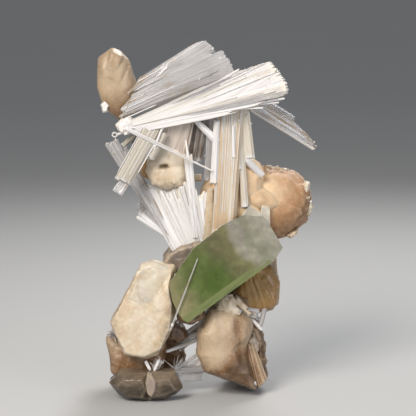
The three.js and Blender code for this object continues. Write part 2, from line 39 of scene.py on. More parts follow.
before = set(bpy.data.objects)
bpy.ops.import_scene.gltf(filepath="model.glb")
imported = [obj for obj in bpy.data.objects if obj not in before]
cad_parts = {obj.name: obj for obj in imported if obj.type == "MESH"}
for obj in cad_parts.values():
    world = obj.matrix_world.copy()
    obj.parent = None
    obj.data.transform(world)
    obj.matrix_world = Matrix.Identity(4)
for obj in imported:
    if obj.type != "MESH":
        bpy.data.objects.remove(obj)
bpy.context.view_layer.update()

MM = 0.001
CENTRE = np.array([0.1, 2.7, 0.0])  # the row frame's origin, in the crystals' working frame
FRONT = (0.0, -1.0, 0.0)  # the side that shows best
UP = (0.0, 0.0, 1.0)
HEXAGON = np.array([(-0.5, 0), (-0.27, 0.5), (0.27, 0.5), (0.5, 0), (0.27, -0.5), (-0.27, -0.5)])


# ---- Colours -----------------------------------------------------------------------------------

def linear(colour):
    """Linear red, green and blue of an sRGB hex value."""
    srgb = [int(colour[i:i + 2], 16) / 255 for i in (0, 2, 4)]
    return [s / 12.92 if s <= 0.04045 else ((s + 0.055) / 1.055) ** 2.4 for s in srgb]


def tint(label, about, colour):
    """A colour property whose default is an sRGB hex value."""
    return bpy.props.FloatVectorProperty(
        name=label, description=about, default=linear(colour), subtype="COLOR", size=3, min=0, max=1
    )


def length(label, about, millimetres):
    """A length property, in metres."""
    return bpy.props.FloatProperty(
        name=label, description=about, default=millimetres * MM, unit="LENGTH", min=0, precision=5
    )


# ---- Unevenness --------------------------------------------------------------------------------
# Each takes points (count, 3) in millimetres and gives one height a point.

def waves(points, size, seed, count=18):
    """Smooth swelling between about -1 and 1: plane waves about `size` long in random directions,
    with random phases, added up."""
    random = np.random.default_rng(seed)
    direction = random.normal(size=(3, count))
    direction *= 2 * np.pi / size * random.uniform(0.6, 1.5, count) / np.linalg.norm(direction, axis=0)
    return np.cos(points @ direction + random.uniform(0, 2 * np.pi, count)).sum(-1) / math.sqrt(count)


def facets(points, count, lean, seed):
    """Small growth faces: the points nearest to each of `count` seeds lie on one plane through it,
    leaning by a random slope of about `lean`."""
    random = np.random.default_rng(seed)
    flat = points.reshape(-1, 3)
    seeds = flat[random.integers(len(flat), size=count)]
    nearest = ((seeds**2).sum(-1) - 2 * flat @ seeds.T).argmin(1)
    slope = random.normal(size=(count, 3)) * lean
    return ((flat - seeds[nearest]) * slope[nearest]).sum(-1).reshape(points.shape[:-1])


def ledges(points, direction, pitch, height, seed, sway=0.5):
    """Growth steps across `direction`: a ramp that rises over each `pitch` and drops at its end,
    the distance swayed by smooth waves."""
    away = points @ (np.asarray(direction, float) / np.linalg.norm(direction)) / pitch
    away = away + sway * waves(points, 7 * pitch, seed)
    share = away - np.floor(away)
    return height * np.minimum(share, 5 * (1 - share))


def rays(points, origin, pitch, height, seed, count=9):
    """Furrows that spread from `origin` in the plane of X and Z: waves of the bearing, about
    `pitch` degrees apart."""
    random = np.random.default_rng(seed)
    bearing = np.arctan2(points[..., 2] - origin[1], points[..., 0] - origin[0])
    turns = np.round(360 / pitch * random.uniform(0.5, 1.5, count))
    phase = random.uniform(0, 2 * np.pi, count)
    return height * np.cos(bearing[..., None] * turns + phase).sum(-1) / math.sqrt(count)


def groove(points, start, end, wide, deep):
    """A furrow in the front, along the line from `start` to `end` in the plane of X and Z: a bell
    curve of the distance from it, `deep` at the bottom and about `wide` across. It fades out from y 0
    to y 3."""
    a, b = np.asarray(start, float), np.asarray(end, float)
    flat = points[..., [0, 2]]
    share = np.clip((flat - a) @ (b - a) / ((b - a) @ (b - a)), 0, 1)
    away = np.linalg.norm(flat - (a + share[..., None] * (b - a)), axis=-1)
    return -deep * np.exp(-((2 * away / wide) ** 2)) * np.clip(1 - points[..., 1] / 3, 0, 1)


def graded(*stops):
    """Tones by height, for painted light and shade: each stop is a height in millimetres and
    the tone there.
    """
    heights, tones = zip(*stops)
    return lambda p: np.interp(p[..., 2], heights, tones)


# ---- Skins -------------------------------------------------------------------------------------
# A skin is a closed surface: points, faces, and for each point the place in the crystal's own
# axes (grain), its tone (the crystal's own, and in places painted light and shade), and how much it
# stands out or is broken (edge).

APART = 9.7  # moves each crystal's grain by its own amount, so that no two have the same fibres
ROOT = 0.85  # share of the full section at a prism's root
TIP = 0.14  # share of the thickness left at its blunt tip
PAST = (0.2, 0.08)  # widths by which the points at its root and tip stand past its rings
NARROWEST = 0.25  # millimetres; the needles of a fan are no narrower
CLOSED = 0.06  # share of the thickness left where a blade's ends close
BREAK = 0.3  # millimetres over which its root closes, and its end where it has broken straight across
SIDE = 0.3  # share of the thickness at its long sides
FINE = 0.06  # share of its relief in the fine grooves
BACK = 40  # sets the grain of a blade's back apart from its front's
READ = 24  # points read from each side of a lump's ring
AROUND = 8  # rounds of averaging that give a point's surroundings
STANDS_OUT = 0.3  # height in millimetres above them at which its edge is 1


def unit(v):
    """Vectors divided by their own lengths."""
    return v / np.linalg.norm(v, axis=-1, keepdims=True)


def along(points, share):
    """Points at shares 0 to 1 of a line through `points`, each leg an equal share."""
    corners = np.asarray(points, float)
    knots = np.linspace(0, 1, len(corners))
    return np.stack([np.interp(share, knots, corners[:, i]) for i in range(3)], -1)


def skin(rings, first, last, grain, tone, edge):
    """Closed surfaces (surface, ring, corner), each with a point before its first ring and one
    after its last. Faces point out: they are turned round if the volume inside comes out negative."""
    count, rows, around = rings.shape[:3]
    each = rows * around + 2
    co = np.concatenate([first[:, None], rings.reshape(count, -1, 3), last[:, None]], 1)
    ring = 1 + np.arange(rows * around).reshape(rows, around)
    after = np.roll(ring, -1, 1)
    quads = np.stack([ring[:-1], after[:-1], after[1:], ring[1:]], -1).reshape(-1, 4)
    head = np.stack([np.zeros_like(ring[0]), after[0], ring[0]], -1)
    foot = np.stack([ring[-1], after[-1], np.full_like(ring[0], each - 1)], -1)
    start = each * np.arange(count)[:, None, None]
    quads = (quads + start).reshape(-1, 4)
    tris = (np.concatenate([head, foot]) + start).reshape(-1, 3)
    flat = co.reshape(-1, 3)
    triples = np.concatenate([quads[:, :3], quads[:, [0, 2, 3]], tris])
    a, b, c = (flat[triples[:, i]] - flat.mean(0) for i in range(3))
    if (a * np.cross(b, c)).sum() < 0:
        quads, tris = quads[:, ::-1], tris[:, ::-1]

    def spread(values):
        body = values.reshape(count, rows * around, -1)
        ends = [values[:, row].mean(1).reshape(count, 1, -1) for row in (0, -1)]
        return np.concatenate([ends[0], body, ends[1]], 1)

    return {
        "co": flat,
        "quads": quads,
        "tris": tris,
        "grain": spread(grain).reshape(-1, 3),
        "tone": spread(np.broadcast_to(tone, (count, rows, around))).ravel(),
        "edge": spread(edge).ravel(),
    }


def prisms(root, tip, wide, thick, facing=FRONT, seed=1, chisel=1.0, bow=0.0, irregular=0.14, rings=4,
           blunt=0.62):
    """Long six-sided crystals. A point is root + share * (tip - root), plus the hexagon's corner
    times the width and thickness at that share, plus a bow that is a parabola of the share. Over
    the last `chisel` millimetres, but no more than half of the crystal, the section narrows to a
    blunt edge. Widths and thicknesses are one size, a (root, tip) pair, or a pair for each crystal."""
    random = np.random.default_rng(seed)
    root, tip = (np.atleast_2d(np.asarray(p, float)) for p in (root, tip))
    count = len(root)
    wide, thick = (np.broadcast_to(size, (count, 2)) for size in (wide, thick))
    reach = np.linalg.norm(tip - root, axis=-1)
    axis = (tip - root) / reach[:, None]
    facing = np.broadcast_to(np.asarray(facing, float), (count, 3))
    normal = unit(facing - (facing * axis).sum(-1, keepdims=True) * axis)
    side = np.cross(axis, normal)
    full = np.maximum(0.5, 1 - chisel / reach)[:, None]
    share = np.concatenate([np.linspace(0, 1, rings) * full, np.ones((count, 1))], 1)
    taper = np.ones((2, rings + 1))  # of the width and the thickness
    taper[:, 0] = ROOT
    taper[:, -1] = blunt, TIP
    corner = HEXAGON * (1 + irregular * random.normal(size=(count, 1, 6, 1)))
    swell = 1 + 0.2 * irregular * random.normal(size=(count, rings + 1, 1))
    size = [s[:, :1] + (s[:, 1:] - s[:, :1]) * share for s in (wide, thick)]
    across = corner[..., 0] * (size[0] * taper[0])[..., None] * swell
    deep = corner[..., 1] * (size[1] * taper[1])[..., None] * swell
    arch = np.broadcast_to(bow, (count,))[:, None] * 4 * share * (1 - share)
    spine = root[:, None] + share[..., None] * (tip - root)[:, None] + arch[..., None] * normal[:, None]
    rings_at = (spine[:, :, None] + across[..., None] * side[:, None, None]
                + deep[..., None] * normal[:, None, None])
    apart = APART * random.uniform(-9, 9, (count, 1, 1))
    up = np.broadcast_to((share * reach[:, None])[..., None], deep.shape)
    grain = np.stack([across + apart, deep + apart, up], -1)
    edge = np.zeros(across.shape)
    edge[:, -1] = 1
    return skin(
        rings_at, root - PAST[0] * wide[:, :1] * axis, tip + PAST[1] * wide[:, 1:] * axis, grain,
        random.uniform(size=(count, 1, 1)), edge,
    )


def fan(roots, tips, count, wide, thick, facing=FRONT, seed=1, shorten=0.0, ridge=0.5, **cut):
    """Prisms side by side from a root edge to a tip edge, each at a random share of both, some
    shorter, and each at its own depth within `ridge`. A width is a share range of the spacing."""
    random = np.random.default_rng(seed)
    share = (np.arange(count) + random.uniform(0.1, 0.9, count)) / count
    share[0], share[-1] = 0, 1
    root, tip = along(roots, share), along(tips, share)
    tip = tip + (root - tip) * (shorten * random.uniform(size=count) ** 2)[:, None]
    shift = unit(np.asarray(facing, float)) * (ridge * random.uniform(-0.5, 0.5, count))[:, None]
    spacing = [np.linalg.norm(np.diff(np.asarray(e, float), axis=0), axis=1).sum() / count
               for e in (roots, tips)]
    scale = random.uniform(wide[0], wide[1], count)[:, None]
    width = np.maximum(NARROWEST, scale * np.array(spacing))
    depth = np.broadcast_to(thick, (2,)) * random.uniform(0.8, 1.1, (count, 1))
    return prisms(root + shift, tip + shift, width, depth, facing, seed + 1, **cut)


def blade(roots, tips, thick, facing=FRONT, seed=1, columns=90, rows=24, groups=9, relief=0.3,
          ragged=0.03, chisel=BREAK, tone=(0.0, 1.0), rise=0.0):
    """A broad blade: fibres grown side by side into one closed surface. A point of its front is root
    + share * (tip - root) on two edges, raised by half of the thickness and by its fibre's height,
    and the back is the same the other way. Across it, each of `groups` fibres has its own height
    within `relief`, its own slope and tone, and its own length within a share `ragged`, and fine
    grooves lie between. The sides slope down, and the end closes to an edge over `chisel` mm. Its
    tone goes up by `rise` from root to tip."""
    random = np.random.default_rng(seed)
    across = np.linspace(0, 1, columns)
    bounds = np.sort(random.uniform(0, 1, groups - 1))
    group = np.searchsorted(bounds, across)
    middle = (np.concatenate([[0], bounds]) + np.concatenate([bounds, [1]]))[group] / 2
    root, tip = along(roots, across), along(tips, across)
    reach = np.linalg.norm(tip - root, axis=-1).mean()
    axis = unit((tip - root).mean(0))
    normal = np.asarray(facing, float)
    normal = unit(normal - (normal @ axis) * axis)
    broken = 1 - ragged * (random.uniform(size=groups)[group] ** 2 + 0.2 * random.uniform(size=columns))
    share = np.concatenate([[0], np.linspace(BREAK / reach, 1 - chisel / reach, rows), [1]])
    closed = np.ones(rows + 2)
    closed[[0, -1]] = CLOSED
    at = share[:, None] * broken
    wide = np.linalg.norm(root[-1] - root[0]) * (1 - at) + np.linalg.norm(tip[-1] - tip[0]) * at
    thick = np.broadcast_to(thick, (2,))
    half = (thick[0] * (1 - at) + thick[1] * at) / 2
    slope = np.clip(SIDE + wide * np.minimum(across, 1 - across) / (0.9 * half), 0, 1)
    spine = root + at[..., None] * (tip - root)
    faces, depths = [], []
    for side in (1, -1):
        own = random.uniform(-0.5, 0.5, groups)[group]
        lean = random.uniform(-1, 1, groups)[group] * (across - middle) * groups
        furrow = relief * (own + 0.5 * lean + FINE * random.normal(size=columns)) * wide / wide.max()
        depth = side * closed[:, None] * np.maximum(0.1, half * slope + furrow)
        faces.append(spine + depth[..., None] * normal)
        depths.append(depth)
    own_tone = tone[0] + (tone[1] - tone[0]) * random.uniform(size=groups)[group]
    edge = np.zeros((rows + 2, columns))
    edge[-2:] = min(1, BREAK / chisel)
    place = np.broadcast_to(APART * random.uniform(-9, 9) + across * wide, at.shape)
    grain = [np.stack([place, apart + depth, at * reach], -1) for apart, depth in zip((0, BACK), depths)]
    loop = [np.concatenate([near, far[:, ::-1]], 1)[None] for near, far in (
        faces, grain, (edge, edge), (own_tone + rise * at,) * 2)]
    return skin(loop[0], loop[0][:, 0].mean(1), loop[0][:, -1].mean(1), loop[1], loop[3], loop[2])


def plank(root, tip, wide, thick, groups=5, facing=FRONT, seed=1, **cut):
    """A blade from its middle line and its (root, tip) widths."""
    root, tip = np.asarray(root, float), np.asarray(tip, float)
    side = unit(np.cross(tip - root, facing))
    ends = [[at - side * size / 2, at + side * size / 2]
            for at, size in zip((root, tip), np.broadcast_to(wide, (2,)))]
    return blade(*ends, thick, facing, seed, columns=7 * groups, rows=14, groups=groups, **cut)


def lump(rings, relief, around=144, step=0.45, soften=2, crown=0.0, tone=0.5):
    """A closed surface through rings of corners, first ring to last, with a point in the middle of
    both. The first parameter is the bearing about a ring's middle, the second the share of the way
    from ring to ring, which is straight. Edges are softened by averaging neighbours, and then each
    point moves out by `relief`, a height for each point. `tone` is one value or is worked out from
    the points too. `edge` is how far a point stands out from its surroundings."""
    rings = [np.asarray(r, float) for r in rings]
    middles = [r.mean(0) for r in rings]
    dense = [along(np.concatenate([r, r[:1]]), np.linspace(0, 1, READ * len(r), endpoint=False))
             for r in rings]
    bearing = [np.arctan2(d[:, 2] - m[2], d[:, 0] - m[0]) for d, m in zip(dense, middles)]
    widest = max(range(len(rings)), key=lambda i: np.ptp(dense[i], axis=0).sum())
    order = np.argsort(bearing[widest])
    walk = np.linalg.norm(np.diff(dense[widest][order], axis=0, append=dense[widest][order[:1]]), axis=1)
    walk = np.concatenate([[0], np.cumsum(walk)])[:-1] / walk.sum()
    want = np.interp(np.arange(around) / around, walk, bearing[widest][order])
    read = [np.stack([np.interp(want, b, d[:, i], period=2 * np.pi) for i in range(3)], -1)
            for d, b in zip(dense, bearing)]
    body = np.concatenate(dense).mean(0)
    stack = [_cap(read[0], body, crown, step)]
    for near, far in zip(read, read[1:]):
        steps = max(1, int(np.linalg.norm(far - near, axis=-1).mean() / step))
        share = (np.arange(steps) / steps)[:, None, None]
        stack.append(near + (far - near) * share)
    stack.append(_cap(read[-1], body, crown, step)[::-1])
    co = np.concatenate(stack)
    for _ in range(soften):
        co = _blur(co)
    co = co + _outward(co) * relief(co)[..., None]
    normal = _outward(co)
    wide = co
    for _ in range(AROUND):
        wide = _blur(wide)
    edge = np.clip(((co - wide) * normal).sum(-1) / STANDS_OUT, 0, 1)
    if callable(tone):
        tone = tone(co)[None]
    return skin(co[None], co[:1].mean(1), co[-1:].mean(1), co[None], tone, edge[None])


def _cap(ring, body, crown, step):
    """Rows from just off a ring's middle out to the ring, swelling by `crown` at the middle."""
    middle = ring.mean(0)
    rows = max(3, int(np.linalg.norm(ring - middle, axis=-1).mean() / step))
    share = ((np.arange(rows) + 0.5) / rows)[:, None, None]
    return middle + (ring - middle) * share + unit(middle - body) * crown * (1 - share**2)


def _blur(co):
    """Each point averaged with its two neighbours, itself counted twice: first along its row, then,
    but for the first and last rows, across the rows."""
    co = (np.roll(co, 1, 1) + 2 * co + np.roll(co, -1, 1)) / 4
    inner = (co[:-2] + 2 * co[1:-1] + co[2:]) / 4
    return np.concatenate([co[:1], inner, co[-1:]])


def _outward(co):
    """Unit normals of a grid of points, from its two differences, pointing away from its middle."""
    normal = np.cross(np.roll(co, -1, 1) - np.roll(co, 1, 1), np.gradient(co, axis=0))
    normal = unit(normal + 1e-9)
    return normal * np.sign((normal * (co - co.mean((0, 1)))).sum())


def tablet(outline, front, back, inset, bevel, rounded=False, lean=(0.0, 0.0), **surface):
    """A tablet as a lump: an outline of (x, z) corners, whole at mid depth and drawn in by `inset`
    towards its faces. `lean` slopes it: millimetres of depth for each millimetre of X and Z."""
    flat = np.asarray(outline, float)
    middle = flat.mean(0)
    away = flat - middle
    reach = np.linalg.norm(away, axis=1, keepdims=True)

    def ring(depth, drawn_in):
        at = away * np.maximum(0.2, 1 - drawn_in / reach)
        depths = depth + at @ np.asarray(lean, float)
        return np.stack([middle[0] + at[:, 0], depths, middle[1] + at[:, 1]], -1)

    turns = [(1, 0), (0.42, 0.28), (0, 1)] if rounded else [(1, 0), (0, 1)]  # of inset and bevel
    near = [ring(front + bevel * b, inset * a) for a, b in turns]
    far = [ring(back - bevel * b, inset * a) for a, b in reversed(turns)]
    return lump(near + far, **surface)


def cut_crystal(faces):
    """A crystal bounded by flat faces, each given by a place on it and the way it faces. A corner is
    where three planes meet, inside all others. Gives points and polygons."""
    place, facing = (np.array(values) for values in zip(*faces))
    normal = unit(facing)
    planes = np.column_stack([normal, (place * normal).sum(-1)])
    count = len(planes)
    triples = np.array([(i, j, k) for i in range(count) for j in range(i + 1, count)
                        for k in range(j + 1, count)])
    matrix = planes[triples][..., :3]
    usable = np.abs(np.linalg.det(matrix)) > 1e-4  # the others hardly meet in a point
    triples, matrix = triples[usable], matrix[usable]
    corner = np.linalg.solve(matrix, planes[triples][..., 3:])[..., 0]
    kept = (corner @ planes[:, :3].T - planes[:, 3] < 1e-5).all(1)  # millimetres outside
    triples, corner = triples[kept], corner[kept]
    polygons = []
    for i, plane in enumerate(planes):
        own = np.flatnonzero((triples == i).any(1))
        if len(own) < 3:
            continue
        spoke = corner[own] - corner[own].mean(0)
        first = unit(spoke[0])
        second = np.cross(plane[:3], first)
        polygons.append(own[np.argsort(np.arctan2(spoke @ second, spoke @ first))].tolist())
    return corner, polygons


def tuft(foot, towards, spread, reach, count, wide, seed):
    """Hair-fine needles from about one place: each points along `towards` plus a random part of
    size `spread`, and is between half and all of `reach` long."""
    random = np.random.default_rng(seed)
    foot = np.atleast_2d(np.asarray(foot, float))
    foot = foot[random.integers(len(foot), size=count)] + random.normal(size=(count, 3)) * 0.5 * wide
    heading = unit(unit(np.asarray(towards, float)) + spread * random.normal(size=(count, 3)))
    tip = foot + heading * reach * random.uniform(0.5, 1, (count, 1))
    return prisms(foot, tip, (wide, 0.5 * wide), (wide, 0.5 * wide), seed=seed, rings=3)


def crumbs(places, size, seed):
    """Small stubby crystals, one at each place, lying every way: short prisms about as wide as they
    are long."""
    random = np.random.default_rng(seed)
    places = np.atleast_2d(np.asarray(places, float))
    count = len(places)
    own = size * random.uniform(0.5, 1.2, (count, 1))
    half = unit(random.normal(size=(count, 3))) * own * 0.55
    wide = np.concatenate([own, own], 1) * random.uniform(0.5, 0.9, (count, 1))
    return prisms(places - half, places + half, wide, wide * 0.8, UP, seed, chisel=0.3, rings=2,
                  irregular=0.25, blunt=0.6)


def scattered(skins, count, seed, low, high):
    """Points of these skins picked at random from inside a box."""
    co = np.concatenate([s["co"] for s in skins])
    inside = co[((co > low) & (co < high)).all(1)]
    return inside[np.random.default_rng(seed).integers(len(inside), size=count)]


# ---- Materials ---------------------------------------------------------------------------------
# Each mineral's function takes c, the colours of the sidebar. Nodes are wired with add alone.

SHARE, FIRST, SECOND, MIXED = 0, 6, 7, 2  # a Mix node's colour sockets; the last is its output


def add(tree, kind, inputs=None, stops=None, **settings):
    """Adds a node: its settings, its input values, a link where an input is given a socket or a node
    (whose first output it takes), and the stops of a ramp."""
    node = tree.nodes.new("ShaderNode" + kind)
    for key, value in settings.items():
        setattr(node, key, value)
    for key, value in (inputs or {}).items():
        if isinstance(value, bpy.types.Node):
            value = value.outputs[0]
        if isinstance(value, bpy.types.NodeSocket):
            tree.links.new(value, node.inputs[key])
        else:
            node.inputs[key].default_value = value
    for i, (place, colour) in enumerate(stops or ()):
        ramp = node.color_ramp.elements
        element = ramp[i] if i < len(ramp) else ramp.new(1)
        element.position = place
        element.color = (*colour, 1)
    return node


def mineral(name, values, absorbs=None):
    """A new material with one Principled shader, whose plain values are on its own sockets, and for
    a clear mineral a plain absorption, (colour, density), inside."""
    material = bpy.data.materials.new(name)
    material.use_nodes = True
    tree = material.node_tree
    tree.nodes.clear()
    shader = add(tree, "BsdfPrincipled", values)
    output = add(tree, "OutputMaterial", {"Surface": shader})
    if absorbs:
        inside = add(tree, "VolumeAbsorption", {"Color": (*absorbs[0], 1), "Density": absorbs[1]})
        tree.links.new(inside.outputs[0], output.inputs["Volume"])
    return material, tree, shader


def glassy(roughness, share, ior=1.5):
    """Shader values of a clear mineral that lets this share of the light through."""
    return {"Roughness": roughness, "IOR": ior, "Transmission Weight": share}


def cloudy(roughness, share, depth, reach, ior=1.5, coat=None):
    """Shader values of a cloudy mineral: this share of the light sinks in, about `depth` millimetres
    deep, its red, green and blue the parts `reach` of that, under a glassy `coat` where it has one,
    (weight, roughness)."""
    values = {
        "Roughness": roughness, "IOR": ior,
        "Subsurface Weight": share, "Subsurface Scale": depth * MM, "Subsurface Radius": reach,
    }
    if coat:
        values["Coat Weight"], values["Coat Roughness"] = coat
    return values


def times(colour, factor):
    """A colour made lighter or darker, and at most white."""
    return [min(1.0, channel * factor) for channel in colour]


def fibrous(name, values, fibre, shades, broken, raised, milky=0.2, absorbs=None):
    """Scolecite: fibres and grooves that run along each crystal, under clouds of the strength
    `milky`. `fibre` is their (width, length) in millimetres, `shades` the ramp from the darkest
    groove to the lightest fibre, `broken` the colour of a broken end, and `raised` the relief of
    the grooves in millimetres. The ramp and the bump read the same noise, so the grooves are
    painted darker: painted shade in them. Real fibres are finer than the render can show, so they
    are drawn some tenths of a millimetre wide."""
    cloud = 5 * MM
    own_share = 0.24  # how far a crystal's own tone moves it along the ramp
    covered = 0.85  # how much of a broken end has its colour
    material, tree, shader = mineral(name, values, absorbs)
    grain, tone, edge = (add(tree, "Attribute", attribute_name=key) for key in ("grain", "tone", "edge"))
    drawn = add(tree, "Mapping", {
        "Vector": grain.outputs["Vector"], "Scale": (1 / fibre[0], 1 / fibre[0], 1 / fibre[1]),
    })
    fibres = add(tree, "TexNoise", {"Vector": drawn, "Scale": 1.0, "Detail": 3.0, "Roughness": 0.65})
    own = add(tree, "Math", {0: tone.outputs["Fac"], 1: own_share, 2: -own_share / 2},
              operation="MULTIPLY_ADD")
    place = add(tree, "TexCoord")
    clouds = add(tree, "TexNoise", {"Vector": place.outputs["Object"], "Scale": 1 / cloud, "Detail": 3.0})
    veil = add(tree, "Math", {0: clouds, 1: milky, 2: -milky / 2}, operation="MULTIPLY_ADD")
    plain = add(tree, "Math", {0: fibres, 1: own}, operation="ADD")
    level = add(tree, "Math", {0: plain, 1: veil}, operation="ADD")
    body = add(tree, "ValToRGB", {"Fac": level}, stops=shades)
    ends = add(tree, "Math", {0: edge.outputs["Fac"], 1: covered}, operation="MULTIPLY")
    colour = add(tree, "Mix", {SHARE: ends, FIRST: body, SECOND: (*broken, 1)}, data_type="RGBA")
    bump = add(tree, "Bump", {"Height": fibres, "Strength": 0.6, "Distance": raised * MM})
    tree.links.new(colour.outputs[MIXED], shader.inputs["Base Color"])
    tree.links.new(bump.outputs[0], shader.inputs["Normal"])
    return material


def waxy(name, values, shades, crust, patch, grain_size, specks=None, stretch=(1, 1, 1), patchy=0.5,
         absorbs=None):
    """Stilbite: patches `patch` millimetres across, of the strength `patchy` and drawn out by
    `stretch`, a paler crust where the surface stands out, fine crystal grain `grain_size`
    millimetres across, and dark specks, (radius as a share of their spacing, colour). The real
    grain is finer, and is drawn as coarse as it needs to show."""
    specks_apart = 1.6 * MM
    relief = 0.12 * MM
    own_share, grain_share = 0.5, 0.3  # how far its tone and its grain move a crystal along the ramp
    centred = 0.1 - 0.5 * patchy  # keeps the middle of all three in the middle of the ramp
    material, tree, shader = mineral(name, values, absorbs)
    place = add(tree, "TexCoord")
    edge, tone = (add(tree, "Attribute", attribute_name=key) for key in ("edge", "tone"))
    drawn = add(tree, "Mapping", {
        "Vector": place.outputs["Object"], "Scale": [1 / (patch * MM * by) for by in stretch],
    })
    patches = add(tree, "TexNoise", {"Vector": drawn, "Scale": 1.0, "Detail": 5.0, "Roughness": 0.6})
    fine = add(tree, "TexNoise", {
        "Vector": place.outputs["Object"], "Scale": 1 / (grain_size * MM), "Detail": 4.0, "Roughness": 0.7,
    })
    own = add(tree, "Math", {0: tone.outputs["Fac"], 1: own_share, 2: centred}, operation="MULTIPLY_ADD")
    shade = add(tree, "Math", {0: fine, 1: grain_share, 2: own}, operation="MULTIPLY_ADD")
    level = add(tree, "Math", {0: patches, 1: patchy, 2: shade}, operation="MULTIPLY_ADD")
    body = add(tree, "ValToRGB", {"Fac": level}, stops=shades)
    worn = add(tree, "Math", {0: edge.outputs["Fac"], 1: fine}, operation="MULTIPLY")
    colour = add(tree, "Mix", {SHARE: worn, FIRST: body, SECOND: (*crust, 1)}, data_type="RGBA")
    if specks:
        cells = add(tree, "TexVoronoi", {"Vector": place.outputs["Object"], "Scale": 1 / specks_apart})
        dark = add(tree, "Math", {0: cells.outputs["Distance"], 1: specks[0]}, operation="LESS_THAN")
        colour = add(tree, "Mix", {SHARE: dark, FIRST: colour.outputs[MIXED], SECOND: (*specks[1], 1)},
                     data_type="RGBA")
    bump = add(tree, "Bump", {"Height": fine, "Strength": 0.5, "Distance": relief})
    tree.links.new(colour.outputs[MIXED], shader.inputs["Base Color"])
    tree.links.new(bump.outputs[0], shader.inputs["Normal"])
    return material


# Scolecite grown as a mass of fibres: opaque, snow white, with the silky gleam of many parallel
# needles, and grooves between them painted greyer, as shade.
def silky_scolecite(c):
    return fibrous(
        "silky_scolecite", cloudy(0.42, 0.12, 0.8, (1.0, 0.9, 0.85), ior=1.52), (0.4, 22),
        [(0.22, times(c.broken_end, 0.74)), (0.42, times(c.silky, 0.93)), (0.58, c.silky)],
        c.broken_end, 0.05)


# Scolecite in single crystals: glassy and half clear, so the grooves and flaws inside read as grey
# and lilac lines along the blade.
def clear_scolecite(c):
    return fibrous(
        "clear_scolecite", glassy(0.2, 0.5), (0.6, 26),
        [(0.22, times(c.peach_light, 0.8)), (0.4, times(c.clear, 0.86)), (0.62, c.clear)],
        c.silky, 0.06, milky=0.7, absorbs=(c.clear, 30.0))


# Clear scolecite over the peach crystals that it grew on: their colour comes through it, so it
# looks warm and milky.
def warm_scolecite(c):
    return fibrous(
        "warm_scolecite", cloudy(0.3, 0.15, 1.0, (1.0, 0.8, 0.65)), (0.9, 26),
        [(0.24, times(c.peach_light, 0.9)), (0.42, c.warm), (0.66, times(c.warm, 1.2))], c.silky, 0.05)


# Beige scolecite in fine parallel fibres: light comes back out of it softly. Its colour is painted
# light: lighter, standing for the light that reaches these blades in the main blade's shadow.
def beige_scolecite(c):
    return fibrous(
        "beige_scolecite", cloudy(0.35, 0.15, 1.0, (1.0, 0.8, 0.65)), (0.5, 20),
        [(0.26, times(c.beige, 0.7)), (0.42, times(c.beige, 0.93)), (0.6, c.beige)], c.silky, 0.05)


# Half-clear scolecite, stained by what it grew on: a beige to brown blade.
def stained_scolecite(c):
    return fibrous(
        "stained_scolecite", glassy(0.25, 0.3), (0.5, 18),
        [(0.28, times(c.stained, 0.78)), (0.42, times(c.stained, 0.94)), (0.6, c.stained)],
        c.silky, 0.06, absorbs=(c.stained, 40.0))


# Clear scolecite in the shade: the eye sees through it into the dark behind, with light lines.
def shaded_scolecite(c):
    return fibrous(
        "shaded_scolecite", glassy(0.2, 0.4), (0.6, 14),
        [(0.32, times(c.shaded, 0.4)), (0.5, c.shaded), (0.76, c.clear)],
        c.clear, 0.1, absorbs=(c.shaded, 60.0))


# Peach stilbite in sheaves: waxy crystals, cloudy inside, so light sinks in and comes back warm,
# with brown specks on them. Its lightest stop is painted light, reached where a tone lifts a
# shaded body.
def peach_stilbite(c):
    return waxy(
        "peach_stilbite", cloudy(0.6, 0.25, 1.5, (1.0, 0.5, 0.25)),
        [(0.2, times(c.peach, 0.6)), (0.42, c.peach), (0.72, c.peach_light),
         (0.95, times(c.peach_light, 1.35))],
        times(c.peach_light, 1.2), 7.0, 0.5, specks=(0.05, c.speck))


# Cream stilbite in tablets: pearly faces with a pale crust on their rims and a mottled, creamy glow.
def cream_stilbite(c):
    return waxy(
        "cream_stilbite", cloudy(0.42, 0.25, 1.5, (1.0, 0.65, 0.4), coat=(0.1, 0.3)),
        [(0.25, times(c.cream, 0.6)), (0.45, c.cream), (0.7, c.cream_light), (0.95, times(c.crust, 1.15))],
        c.crust, 4.0, 2.0)


# Tan stilbite: duller, with furrows drawn out along the crystal, and browner in its hollows and
# at its lower edges, as painted shade.
def tan_stilbite(c):
    return waxy(
        "tan_stilbite", cloudy(0.45, 0.2, 1.2, (1.0, 0.6, 0.35), coat=(0.1, 0.3)),
        [(0.24, times(c.rust, 0.5)), (0.36, c.rust), (0.52, c.tan), (0.74, c.cream)],
        times(c.tan, 1.05), 4.5, 0.5, stretch=(1, 1, 3))


# Amber stilbite: glossier than the rest, with a honey-coloured glow in stripes along the fan.
def amber_stilbite(c):
    return waxy(
        "amber_stilbite", cloudy(0.34, 0.2, 1.5, (1.0, 0.6, 0.25), coat=(0.2, 0.2)),
        [(0.3, times(c.amber, 0.55)), (0.5, c.amber), (0.8, times(c.amber, 1.35))],
        c.peach, 3.5, 0.7, stretch=(1, 1, 5))


# Grey stilbite: smooth and even, with a faint lilac cast and few patches.
def grey_stilbite(c):
    return waxy(
        "grey_stilbite", cloudy(0.35, 0.2, 1.2, (1.0, 0.8, 0.7)),
        [(0.3, times(c.grey, 0.7)), (0.5, c.grey), (0.75, times(c.grey, 1.3))],
        c.cream, 4.0, 0.7, patchy=0.3)


# Smoky stilbite: clear, with glassy faces over a brown, veined inside.
def smoky_stilbite(c):
    return waxy(
        "smoky_stilbite", glassy(0.12, 0.6),
        [(0.28, times(c.smoky, 0.35)), (0.42, c.smoky), (0.58, times(c.smoky, 2.2)),
         (0.76, times(c.smoky, 3.2))],
        times(c.smoky, 3.5), 5.0, 0.8, stretch=(1.6, 1, 0.8), patchy=1.0, absorbs=(times(c.smoky, 3), 30.0))


